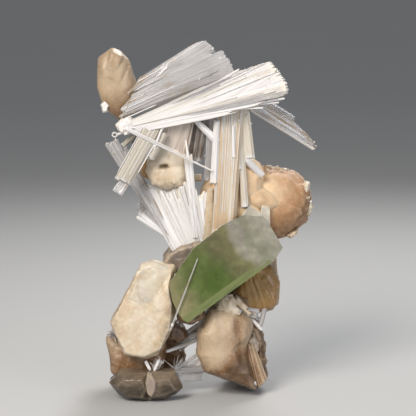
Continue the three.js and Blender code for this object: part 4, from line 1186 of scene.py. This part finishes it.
def grow_stilbite_bow_tie(c, s):
    """The clear bow-tie: two wedges that spread from a narrow middle, a small prism in front and
    little white crystals on top."""
    relief = uneven(261, 0.05, 4, 0.03, 24)
    # Painted light: the wedges are lighter towards the top. The right wedge is also made lighter than the
    # left one.
    shade = graded((0, 0.15), (5, 0.35), (7, 0.7), (8.6, 1.1))
    piece(c, "stilbite_bow_tie", ["stilbite_clear_bow_tie"], [(smoky_stilbite, [
        tablet([(-29.6, 5.4), (-26, 8.8), (-18, 8.6), (-16, 4), (-18, 0.1), (-24.4, 0.1), (-27, 2)], -14, -2,
               2.2, 3.4, False, (-0.1, 0), soften=1, relief=relief, tone=lambda p: shade(p) - 0.15),
        tablet([(-7.4, 3.6), (-10, 8.8), (-18, 8.8), (-20, 4), (-18, 0.1), (-12.4, 0.1)], -14, -2, 2.2, 3.4,
               False, (0.1, 0), soften=1, relief=relief, tone=lambda p: 1.3 * shade(p) + 0.15),
    ]), (grey_stilbite, [
        tablet([(-17.9, 9.2), (-16.6, 8.7), (-15.3, 6.9), (-15.5, 3.8), (-16.8, 1.9), (-18, 2.9), (-18.6, 6)],
               -15.4, -11, 0.5, 0.8, around=72, step=0.3, soften=1, relief=uneven(265, 0.04, 2), tone=1.1),
    ]), (silky_scolecite, [
        prisms([(-18.6, -10, 11.8), (-14.6, -10, 12.2)], [(-17.2, -10.6, 9.2), (-16, -10.6, 9)], 1, 0.8,
               seed=267, chisel=0.6),
    ])], smooth=GLASSY_CREASE)


def grow_stilbite_lower_right(c, s):
    """The large sheaf at the lower right: a pillowed cream body, painted brown at its lower edge as
    shade, with a straight furrow before a ridge, striped planks, brown and clear crystals and its heel."""
    swells = uneven(271, 0.2, 9, 0.025, 110)

    def relief(p):
        return (swells(p) + groove(p, (8.6, 23.4), (9.8, 10), 2.4, 0.55)
                + groove(p, (4.6, 26), (6, 10), 3, 0.3))

    # Painted shade: darker towards the lower edge and to the right, and darker in the furrow.
    def shade(p):
        low = np.interp(p[..., 2] - 0.3 * p[..., 0], (3.5, 6.5, 9.5, 13), (-0.4, -0.1, 0.4, 0.7))
        return low - 0.2 * np.clip((p[..., 0] - 5) / 4, 0, 1) + 0.2 * groove(p, (8.6, 24), (9.8, 10), 2.6, 1)

    piece(c, "stilbite_lower_right", ["stilbite_lower_right"], [(tan_stilbite, [
        tablet([(0.3, 26.6), (3.6, 27.8), (7.3, 27.2), (10.2, 25.6), (12.6, 23.4), (13.4, 20.8), (12.4, 16.8),
                (12, 12.6), (13.2, 8), (15, 4), (14.6, 1.4), (10.5, 3), (5, 5.2), (-1.2, 7.8), (-3.3, 12.9),
                (-3.2, 16.7), (-3.3, 20)], -9, 9, 2.8, 4.2, True, (0.18, 0.05), crown=1.2, relief=relief,
               around=220, tone=shade),
        plank((8, 2, 21), (13.8, 19.4, 0.4), (13, 10), (12, 8), 6, (-0.4, -1, -0.6), 277, chisel=4),
        plank((7, 0, 18), (11, 15, 27), (12, 8), (10, 6), 6, (1, 0, 0.3), 279, chisel=3),
        # Painted shade: a dark tablet, tone -0.2, that fills a shaded nook behind the cream mass.
        tablet([(7.4, 31), (12.8, 29.6), (13.4, 26), (9, 24.6)], -2.4, 5, 1, 1.4, around=64, step=0.4,
               relief=uneven(282, 0.2, 4, 0.05, 40), tone=-0.2),
        tablet([(12, 22), (15, 20.6), (16.6, 17), (17.6, 13), (17.2, 8), (18.4, 4), (14.4, 0.4), (11, 4),
                (10.4, 14)], -2.2, 11, 1.8, 2.6, False, (-0.1, 0.05), relief=uneven(283, 0.25, 5, 0.05, 40),
               tone=-0.1),
        blade([(11, -3.6, 16), (13.8, -2.8, 16)], [(14.2, -4.6, 3), (15.8, -4, 2.2), (18, -3, 4.6)], (2.4, 2),
              FRONT, 281, columns=60, groups=8, relief=0.3, ragged=0.03, tone=(0.1, 0.7)),
    ]), (cream_stilbite, [
        plank((12.6, -4.4, 24.8), (9.4, -3, 27.4), 1.2, 1.2, 3, FRONT, 313, tone=(0.3, 0.7)),
        tablet([(2, 27), (4, 30), (7.2, 30.6), (8.6, 28), (9.4, 25.2), (7.2, 24), (4.6, 25)], -7.6, 0, 1.4,
               1.2, around=72, step=0.4, relief=uneven(291, 0.25, 3, 0.12, 40), tone=0.55),
    ]), (grey_stilbite, [
        tablet([(11.6, 17.4), (13.8, 18.6), (15.6, 16.6), (15.2, 13), (12.6, 12)], -3.6, 3, 1, 1.4, False,
               (0.1, 0), around=72, step=0.35, relief=uneven(285, 0.2, 3, 0.1, 40), tone=0.9),
    ]), (silky_scolecite, [
        crumbs([(14, -7.4, 4.6), (14.2, -7.2, 4.2), (12.6, -4.4, 14.8)], 0.8, 287),
        plank((10, -2.6, 26), (7.4, -5.4, 24.6), 1.4, 1.2, 3, FRONT, 289),
    ]), (clear_scolecite, [
        plank((8.6, -2.6, 26), (15.4, -2, 24.4), (2.6, 3.4), 2, 4, FRONT, 293, ragged=0.1),
        plank((17.2, -0.6, 26.6), (15.8, -1.4, 20.4), (1.6, 1.2), 1.4, 3, FRONT, 295, ragged=0.1),
    ])], smooth=CREASE)


def grow_stilbite_amber(c, s):
    """The honey-coloured fan behind the lower edge of the green crystal, faintly furrowed."""
    swells = uneven(291, 0.15, 7, 0.04, 80)

    def relief(p):
        return swells(p) + rays(p, (8, 52), 3.4, 0.1, 293)

    piece(c, "stilbite_amber", ["stilbite_amber"], [(amber_stilbite, [
        tablet([(7.6, 31), (9.6, 36.5), (15, 40), (19.4, 38.4), (21.8, 33.4), (21.6, 27), (19.6, 24.8),
                (14.4, 24.2), (9, 26)], -1.8, 14, 2, 3.4, True,
               crown=0.6, relief=relief, around=176, tone=0.5),
    ]), (cream_stilbite, [
        tablet([(7, 28.6), (8.6, 30.4), (12.2, 27), (11, 25.6)], -4.6, 1, 0.5, 0.8, around=48, step=0.35,
               relief=uneven(311, 0.1, 2)),
        plank((20, 4, 35), (19, 2.6, 41.4), (2.4, 3.4), 1.6, 3, FRONT, 315, tone=(0, 0.4)),
    ])], smooth=CREASE)


def grow_stilbite_grey(c, s):
    """The grey-lilac crystal behind the green one, the hidden blades that carry the upper crystals,
    and a small brown tablet under the green one."""
    swells = uneven(321, 0.15, 6, 0.05, 80)

    def relief(p):
        return swells(p) + ledges(p, (-1, 0, 1), 2.4, 0.08, 325)

    piece(c, "stilbite_grey", ["stilbite_grey"], [(grey_stilbite, [
        tablet([(-13.6, 40.6), (-11.6, 43.8), (-8.6, 45.4), (-3.6, 47), (2, 48), (5.4, 46.6), (3.4, 40),
                (-2.6, 34.6), (-8.6, 35.6)], -5.8, 9, 1, 1.2, True, (0, 0.02), relief=relief, tone=0.3),
        plank((0, 5, 40), (9, 7, 53), (12, 11), (10, 8), 6, FRONT, 327, chisel=3),
        plank((0, 5, 42), (5.6, 7.6, 23.6), (12, 10), (10, 8), 6, FRONT, 329, chisel=3),
        plank((-1, 5, 41), (-6, 15, 36), (10, 8), (8, 5), 5, (0.5, 0, 1), 331, chisel=3),
    ]), (tan_stilbite, [
        # Partly painted shade: this tablet under the green crystal is brown, and tone -0.2 darkens it further
        # for the shade there.
        tablet([(-10.1, 28.2), (-6, 29), (-0.6, 28.4), (-1, 24.5), (-4.5, 22.4), (-8.3, 22.7), (-9.8, 25.4)],
               -9, -1, 1, 1.6, around=72, step=0.4, relief=uneven(333, 0.2, 4, 0.06, 40), tone=-0.2),
    ])], smooth=CREASE)


def grow_stilbite_small(c, s):
    """The small brown crystal in the hollow between the feet."""
    piece(c, "stilbite_small", ["stilbite_small"], [(tan_stilbite, [
        tablet([(-11.4, 21), (-9, 21.8), (-6.8, 19.6), (-6.2, 16.8), (-9, 15.6), (-11.6, 17)],
               -3.4, 5, 0.9, 1.6, False, (0.3, 0.2), around=72, step=0.35,
               relief=uneven(341, 0.12, 3, 0.04, 20), tone=-0.15),
    ])], smooth=CREASE)


# ---- Apophyllite -------------------------------------------------------------------------------

GREEN_AXIS = np.array([0.79, 0.05, 0.61])  # along the prism, up to the right
GREEN_FACES = [  # a place on each face, and the way it faces
    ((0.3, -13.0, 38.9), (0.025, -0.991, 0.129)),  # broad, to the front
    ((-5.1, -14.6, 28.0), (0.224, -0.961, -0.161)),  # the light strip below it
    ((9.4, -10.0, 52.7), (0.423, -0.757, 0.498)),  # blunt end
    ((-11.6, -13.7, 36.0), (-0.817, 0.158, 0.555)),  # upper side
    ((-4.4, -12.2, 46.2), (-0.629, 0.157, 0.761)),
    ((4.1, -11.1, 53.0), (-0.425, 0.145, 0.894)),
    ((10.5, -7.6, 55.5), (0.064, 0.164, 0.984)),  # right side
    ((16.5, -4.8, 54.6), (0.784, 0.196, 0.589)),
    ((18.7, -5.4, 51.9), (0.883, 0.193, 0.428)),
    ((20.5, -6.5, 48.7), (0.858, 0.150, 0.491)),
    ((22.1, -7.3, 46.1), (0.994, 0.110, -0.018)),
    ((-3.7, -13.9, 25.9), (0.515, 0.342, -0.786)),  # under side
    ((-11.6, -13.7, 36.0), (-0.939, 0.254, -0.232)),  # left end
    ((-10.6, -14.3, 31.2), (-0.877, 0.269, -0.399)),
    ((-9.1, -14.7, 27.7), (-0.771, 0.228, -0.595)),
    ((-7.1, -15.0, 24.9), (-0.560, 0.253, -0.789)),
    ((3.0, 0.5, 42.0), (-0.118, 0.986, 0.118)),  # back
]
LIGHT_STRIP = 1  # its place in that list, counted from 0
GREEN_CORE = ((2.0, -13.0, 37.2), 9.0)  # middle and radius of the green heart
BOX_SIDES = [(0, 1, 2, 3), (7, 6, 5, 4), (0, 4, 5, 1), (1, 5, 6, 2), (2, 6, 7, 3), (3, 7, 4, 0)]
PALE_BOXES = [  # corners of the pale crystals: four in front, then the four behind them
    [(9.2, -4.4, 53.6), (12.2, -4, 58), (15.6, -3.4, 55.6), (16, -4.4, 52),
     (9.2, 3, 53.4), (12.2, 3, 57.6), (15.4, 3, 55.4), (15.6, 3, 51.6)],
    [(15, -3.2, 51.6), (16, -2.8, 57.6), (18.4, -2.8, 57.2), (18.6, -3.2, 51),
     (14.6, 3.4, 51.6), (15.8, 3.2, 57.2), (18.2, 3, 56.8), (18.4, 2.5, 51)],
]


def grow_apophyllite(c, s):
    """The large green prism and the two pale crystals that peek out above it, cut by flat faces."""
    corner, polygons = cut_crystal(GREEN_FACES)
    cut_piece(c, "apophyllite_crystal", corner, polygons, green_apophyllite,
              s.crystal_edge, glow_face=LIGHT_STRIP)
    sides = [[8 * box + i for i in side] for box in range(len(PALE_BOXES)) for side in BOX_SIDES]
    cut_piece(c, "apophyllite_small", np.concatenate(PALE_BOXES), sides,
              pale_apophyllite, s.crystal_edge)


def cut_piece(c, name, corner, polygons, mineral, edge_width, glow_face=None):
    """A mesh object from flat polygons, with its edges bevelled. Its tone runs from 0 to 1 along the
    green prism, and its edge is 1 on the face whose number is given last: the face painted with a glow."""
    mesh = bpy.data.meshes.new(name)
    mesh.from_pydata(((corner - CENTRE) * MM).tolist(), [], polygons)
    reach = corner @ GREEN_AXIS
    tone = (reach - reach.min()) / np.ptp(reach)
    mesh.attributes.new("tone", "FLOAT", "POINT").data.foreach_set("value", tone.astype(np.float32))
    edge = (np.arange(len(polygons)) == glow_face).astype(np.float32)
    mesh.attributes.new("edge", "FLOAT", "FACE").data.foreach_set("value", edge)
    obj = ready(c, name, mesh, [mineral], [name])
    bevel = obj.modifiers.new("worn edges", "BEVEL")
    bevel.width = edge_width
    bevel.segments = 2
    bevel.limit_method = "ANGLE"


# ---- Tufts -------------------------------------------------------------------------------------

def grow_tufts(c, s):
    """Hair-fine tufts, the ring at the left with its stem, two striped blades beside it, and a few
    needles low down."""
    middle, radius, turn = np.array([-27.6, -4.4, 79]), 0.7, np.linspace(0, 2 * np.pi, 9)
    ring = middle + radius * np.stack([np.cos(turn), 0 * turn, np.sin(turn)], -1)
    piece(c, "left_tufts", [], [
        (silky_scolecite, [
            prisms(ring[:-1], ring[1:], 0.5, 0.5, seed=401, chisel=0.2, rings=2),
            prisms((-27, -4.4, 79), (-24.4, -5, 80), 0.8, 0.8, seed=403),
        ]),
        (stained_scolecite, [plank((-20.6, -5.4, 80), (-25.4, -3.6, 75.6), 1.4, 1, 4, FRONT, 405)]),
        (shaded_scolecite, [plank((-17.6, -5, 80), (-21.8, -2.6, 75), 3.4, 1.4, 7, FRONT, 407)]),
        (clear_scolecite, [
            tuft([(-18.6, -0.6, 56.6)], (-0.8, -0.2, 0.5), 0.6, 3.4, 60, 0.3, 409),
            tuft([(-28, -6, 19)], (-1, -0.2, 0.2), 0.7, 2.8, 70, 0.3, 411),
        ]),
    ])
    piece(c, "low_tufts", [], [
        (silky_scolecite, [
            tuft([(-15.8, -8.6, 9), (-14.6, -8, 10)], (0.2, -0.4, 1), 0.5, 3, 24, 0.5, 421),
            prisms([(9.4, -0.6, 27), (12.4, 0.4, 26)], [(16.2, -2, 19.6), (16.8, -1, 20.6)], 1.0, 0.8,
                   seed=423),
        ]),
        (clear_scolecite, [tuft([(-10, -4, 8)], (0.6, 0.3, 0.5), 0.5, 5, 30, 0.4, 425)]),
    ])


# ---- Stage -------------------------------------------------------------------------------------

TARGET = (-0.1, -2.7, 56.5)  # what the camera looks at, in millimetres in the row frame
DISTANCE = 520.0  # millimetres from it to the camera
ELEVATION = 8.0  # degrees by which the camera looks down
LENS = 150.0  # focal length in millimetres
FLOOR = 8.0  # half of the floor's side, in metres
SKY = ("e6e9ee", 0.32)  # its colour and strength
BOUNCES = 20  # of light, so that what lies behind several clear crystals isn't black


def set_stage(c, s):
    """A plain pale floor, soft lamps and a pale sky, and the camera."""
    mesh = bpy.data.meshes.new("floor")
    corners = [(FLOOR * x, FLOOR * y, 0) for x, y in ((-1, -1), (1, -1), (1, 1), (-1, 1))]
    mesh.from_pydata(corners, [], [(0, 1, 2, 3)])
    mesh.materials.append(finish(studio_floor, c))
    floor = in_scene("floor", mesh)

    world = bpy.data.worlds.new("soft sky")
    world.use_nodes = True
    sky = world.node_tree.nodes["Background"]
    sky.inputs["Color"].default_value = (*linear(SKY[0]), 1)
    sky.inputs["Strength"].default_value = SKY[1]
    bpy.context.scene.world = world

    target = Vector(TARGET) * MM
    lamps = [  # name, place in metres, side in metres, watts, spread in degrees, colour
        ("key", (-0.25, -0.48, 0.42), 0.3, 1.2, 90, "fff8f0"),
        ("fill", (0.45, -0.45, 0.18), 0.4, 0.45, 90, "f2f5ff"),
        ("rim", (0.2, 0.45, 0.5), 0.3, 0.85, 90, "ffffff"),
    ]
    for name, place, side, watts, spread, colour in lamps:
        light = bpy.data.lights.new(name, "AREA")
        light.size = side
        light.energy = watts
        light.spread = math.radians(spread)
        light.color = linear(colour)
        lamp = in_scene(name, light)
        lamp.location = place
        lamp.rotation_euler = (target - lamp.location).to_track_quat("-Z", "Y").to_euler()

    lens = bpy.data.cameras.new("camera")
    lens.lens = LENS
    lens.sensor_width = 36
    camera = in_scene("camera", lens)
    rise = math.radians(ELEVATION)
    back = Vector((0, -math.cos(rise), math.sin(rise))) * DISTANCE * MM
    camera.location = target + back
    camera.rotation_euler = (-back).to_track_quat("-Z", "Y").to_euler()
    bpy.context.scene.camera = camera
    bpy.context.scene.view_settings.view_transform = "Standard"
    bpy.context.scene.cycles.max_bounces = BOUNCES
    bpy.context.scene.cycles.transmission_bounces = BOUNCES


# ---- Sizes and colours -------------------------------------------------------------------------

class ClusterSizes(bpy.types.PropertyGroup):
    """Sizes that a user would change."""
    main_blade: length("Main blade", "Thickness of the broad white blade", 3.6)
    upper_blades: length("Upper blades", "Thickness of the clear blades behind it", 3.4)
    spike: length("Spike", "Thickness of the right-hand spike at its root", 3.6)
    upright_blades: length("Upright blades", "Thickness of the clear upright blades", 3.0)
    spray_needle: length("Spray needle", "Thickness of the needles of the white spray", 1.8)
    long_needle: length("Long needle", "Thickness of the long lone needle", 0.9)
    hair_needle: length("Hair needle", "Thickness of the needle before the green crystal", 0.7)
    rod: length("Rod", "Thickness of the short white rod", 2.0)
    crystal_edge: length("Crystal edge", "Width of the worn edges of the green prism", 0.2)


class ClusterColours(bpy.types.PropertyGroup):
    """Colours that a user would change."""
    silky: tint("Silky scolecite", "Lightest fibre of the white crystals", "dfdddc")
    clear: tint("Clear scolecite", "Lightest line in the glassy blades", "e3e1e0")
    warm: tint("Warm scolecite", "The glassy blades over the peach crystals", "c9c1b3")
    beige: tint("Beige scolecite", "The beige blades below the main one", "d4c7ba")
    stained: tint("Stained scolecite", "The flat blade in front", "c6beb0")
    shaded: tint("Shaded scolecite", "The dark clear blades below the main one", "85776b")
    broken_end: tint("Broken end", "Where a white blade has broken off", "e6dfd4")
    peach: tint("Peach stilbite", "The body of the peach crystals", "a87e57")
    peach_light: tint("Light peach", "Their lighter patches", "cdb290")
    speck: tint("Specks", "The dark specks in the peach crystals", "5a3a26")
    tan: tint("Tan stilbite", "The body of the tan crystals", "ab957a")
    # Painted shade: this brown stands for the shade in the tan crystals' hollows and lower edges.
    rust: tint("Shade brown stilbite", "The brown of their hollows and lower edges", "785634")
    cream: tint("Cream stilbite", "The body of the cream crystals", "c2ae92")
    cream_light: tint("Light cream", "Their lighter patches", "d4cab8")
    crust: tint("Crust", "The paler crust on edges", "d9cdb9")
    amber: tint("Amber stilbite", "The honey-coloured fan", "8b6d3c")
    grey: tint("Grey stilbite", "The grey-lilac crystal behind the green one", "83776d")
    smoky: tint("Smoky stilbite", "The clear bow-tie", "685c4d")
    # Painted glow: the bright, streaked face along the green prism's lower edge.
    green: tint("Apophyllite green", "The strongest green in the prism", "587030")
    fresh_green: tint("Glow green", "The bright face along its lower edge", "8e9a5c")
    olive: tint("Apophyllite olive", "Its left-hand end", "7e7a58")
    moss: tint("Apophyllite moss", "The green around the core, towards its edges", "6b7645")
    pale_green: tint("Apophyllite pale", "Its right-hand end", "9c9d86")
    veil: tint("Apophyllite veil", "The cloudy veils", "a19c90")
    floor: tint("Floor", "The matte board it stands on", "b6b6b5")


# ---- Operators ---------------------------------------------------------------------------------

def grow(function, context):
    """Runs one growing function with the scene's colours and sizes."""
    function(context.scene.cluster_colours, context.scene.cluster_sizes)
    return {"FINISHED"}


class CLUSTER_OT_stage(bpy.types.Operator):
    """Sets up the floor, the lamps and the camera"""
    bl_idname = "cluster.stage"
    bl_label = "Stage"

    def execute(self, context):
        return grow(set_stage, context)


class CLUSTER_OT_apophyllite(bpy.types.Operator):
    """Grows the green prism and the two pale crystals above it"""
    bl_idname = "cluster.apophyllite"
    bl_label = "Apophyllite"

    def execute(self, context):
        return grow(grow_apophyllite, context)


class CLUSTER_OT_main_blade(bpy.types.Operator):
    """Grows the broad white scolecite blade"""
    bl_idname = "cluster.main_blade"
    bl_label = "Main blade"

    def execute(self, context):
        return grow(grow_main_blade, context)


class CLUSTER_OT_upper_fan(bpy.types.Operator):
    """Grows the clear scolecite blades behind the main one"""
    bl_idname = "cluster.upper_fan"
    bl_label = "Upper fan"

    def execute(self, context):
        return grow(grow_upper_fan, context)


class CLUSTER_OT_right_spike(bpy.types.Operator):
    """Grows the spike that points down to the right"""
    bl_idname = "cluster.right_spike"
    bl_label = "Right spike"

    def execute(self, context):
        return grow(grow_right_spike, context)


class CLUSTER_OT_upright_blades(bpy.types.Operator):
    """Grows the clear upright blades over the peach crystals"""
    bl_idname = "cluster.upright_blades"
    bl_label = "Upright blades"

    def execute(self, context):
        return grow(grow_upright_blades, context)


class CLUSTER_OT_inner_blades(bpy.types.Operator):
    """Grows the beige, dark and grey blades below the main one"""
    bl_idname = "cluster.inner_blades"
    bl_label = "Inner blades"

    def execute(self, context):
        return grow(grow_inner_blades, context)


class CLUSTER_OT_white_spray(bpy.types.Operator):
    """Grows the radiating white needles at the left"""
    bl_idname = "cluster.white_spray"
    bl_label = "White spray"

    def execute(self, context):
        return grow(grow_white_spray, context)


class CLUSTER_OT_diagonal_blade(bpy.types.Operator):
    """Grows the flat blade that points down to the left"""
    bl_idname = "cluster.diagonal_blade"
    bl_label = "Diagonal blade"

    def execute(self, context):
        return grow(grow_diagonal_blade, context)


class CLUSTER_OT_lone_needles(bpy.types.Operator):
    """Grows the long needle, the hair needle and the short rod"""
    bl_idname = "cluster.lone_needles"
    bl_label = "Lone needles"

    def execute(self, context):
        return grow(grow_lone_needles, context)


class CLUSTER_OT_low_needles(bpy.types.Operator):
    """Grows the needles low down between the feet"""
    bl_idname = "cluster.low_needles"
    bl_label = "Low needles"

    def execute(self, context):
        return grow(grow_low_needles, context)


class CLUSTER_OT_stilbite_upper_left(bpy.types.Operator):
    """Grows the smooth crystal at the top left"""
    bl_idname = "cluster.stilbite_upper_left"
    bl_label = "Stilbite, upper left"

    def execute(self, context):
        return grow(grow_stilbite_upper_left, context)


class CLUSTER_OT_stilbite_centre(bpy.types.Operator):
    """Grows the cream double lump among the needles"""
    bl_idname = "cluster.stilbite_centre"
    bl_label = "Stilbite, centre"

    def execute(self, context):
        return grow(grow_stilbite_centre, context)


class CLUSTER_OT_stilbite_right(bpy.types.Operator):
    """Grows the large peach sheaf at the right"""
    bl_idname = "cluster.stilbite_right"
    bl_label = "Stilbite, right"

    def execute(self, context):
        return grow(grow_stilbite_right, context)


class CLUSTER_OT_stilbite_front_left(bpy.types.Operator):
    """Grows the large cream tablet"""
    bl_idname = "cluster.stilbite_front_left"
    bl_label = "Stilbite, front left"

    def execute(self, context):
        return grow(grow_stilbite_front_left, context)


class CLUSTER_OT_stilbite_back_left(bpy.types.Operator):
    """Grows the brownish crystal behind the cream tablet"""
    bl_idname = "cluster.stilbite_back_left"
    bl_label = "Stilbite, back left"

    def execute(self, context):
        return grow(grow_stilbite_back_left, context)


class CLUSTER_OT_stilbite_bow_tie(bpy.types.Operator):
    """Grows the clear bow-tie at the bottom"""
    bl_idname = "cluster.stilbite_bow_tie"
    bl_label = "Stilbite, bow-tie"

    def execute(self, context):
        return grow(grow_stilbite_bow_tie, context)


class CLUSTER_OT_stilbite_lower_right(bpy.types.Operator):
    """Grows the large furrowed sheaf at the lower right"""
    bl_idname = "cluster.stilbite_lower_right"
    bl_label = "Stilbite, lower right"

    def execute(self, context):
        return grow(grow_stilbite_lower_right, context)


class CLUSTER_OT_stilbite_amber(bpy.types.Operator):
    """Grows the honey-coloured fan"""
    bl_idname = "cluster.stilbite_amber"
    bl_label = "Stilbite, amber"

    def execute(self, context):
        return grow(grow_stilbite_amber, context)


class CLUSTER_OT_stilbite_grey(bpy.types.Operator):
    """Grows the grey-lilac crystal behind the green one"""
    bl_idname = "cluster.stilbite_grey"
    bl_label = "Stilbite, grey"

    def execute(self, context):
        return grow(grow_stilbite_grey, context)


class CLUSTER_OT_stilbite_small(bpy.types.Operator):
    """Grows the small brown crystal in the hollow"""
    bl_idname = "cluster.stilbite_small"
    bl_label = "Stilbite, small"

    def execute(self, context):
        return grow(grow_stilbite_small, context)


class CLUSTER_OT_tufts(bpy.types.Operator):
    """Grows the hair-fine tufts, the ring and a few needles"""
    bl_idname = "cluster.tufts"
    bl_label = "Tufts"

    def execute(self, context):
        return grow(grow_tufts, context)


OPERATORS = (
    CLUSTER_OT_stage,
    CLUSTER_OT_apophyllite,
    CLUSTER_OT_main_blade,
    CLUSTER_OT_upper_fan,
    CLUSTER_OT_right_spike,
    CLUSTER_OT_upright_blades,
    CLUSTER_OT_inner_blades,
    CLUSTER_OT_white_spray,
    CLUSTER_OT_diagonal_blade,
    CLUSTER_OT_lone_needles,
    CLUSTER_OT_low_needles,
    CLUSTER_OT_stilbite_upper_left,
    CLUSTER_OT_stilbite_centre,
    CLUSTER_OT_stilbite_right,
    CLUSTER_OT_stilbite_front_left,
    CLUSTER_OT_stilbite_back_left,
    CLUSTER_OT_stilbite_bow_tie,
    CLUSTER_OT_stilbite_lower_right,
    CLUSTER_OT_stilbite_amber,
    CLUSTER_OT_stilbite_grey,
    CLUSTER_OT_stilbite_small,
    CLUSTER_OT_tufts,
)
for operator in OPERATORS:
    operator.bl_options = {"REGISTER", "UNDO"}


class CLUSTER_PT_sidebar(bpy.types.Panel):
    """The cluster's operators, sizes and colours"""
    bl_label = "Cluster"
    bl_space_type = "VIEW_3D"
    bl_region_type = "UI"
    bl_category = "Cluster"

    def draw(self, context):
        for operator in OPERATORS:
            self.layout.operator(operator.bl_idname)
        for group in (context.scene.cluster_sizes, context.scene.cluster_colours):
            for key in type(group).__annotations__:
                self.layout.prop(group, key)


CLASSES = (ClusterSizes, ClusterColours, *OPERATORS, CLUSTER_PT_sidebar)


def register():
    for cls in CLASSES:
        bpy.utils.register_class(cls)
    bpy.types.Scene.cluster_sizes = bpy.props.PointerProperty(type=ClusterSizes)
    bpy.types.Scene.cluster_colours = bpy.props.PointerProperty(type=ClusterColours)


def unregister():
    del bpy.types.Scene.cluster_colours
    del bpy.types.Scene.cluster_sizes
    for cls in reversed(CLASSES):
        bpy.utils.unregister_class(cls)


def main():
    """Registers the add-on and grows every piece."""
    register()
    for operator in OPERATORS:
        group, name = operator.bl_idname.split(".")
        getattr(getattr(bpy.ops, group), name)()


if __name__ == "__main__":
    main()
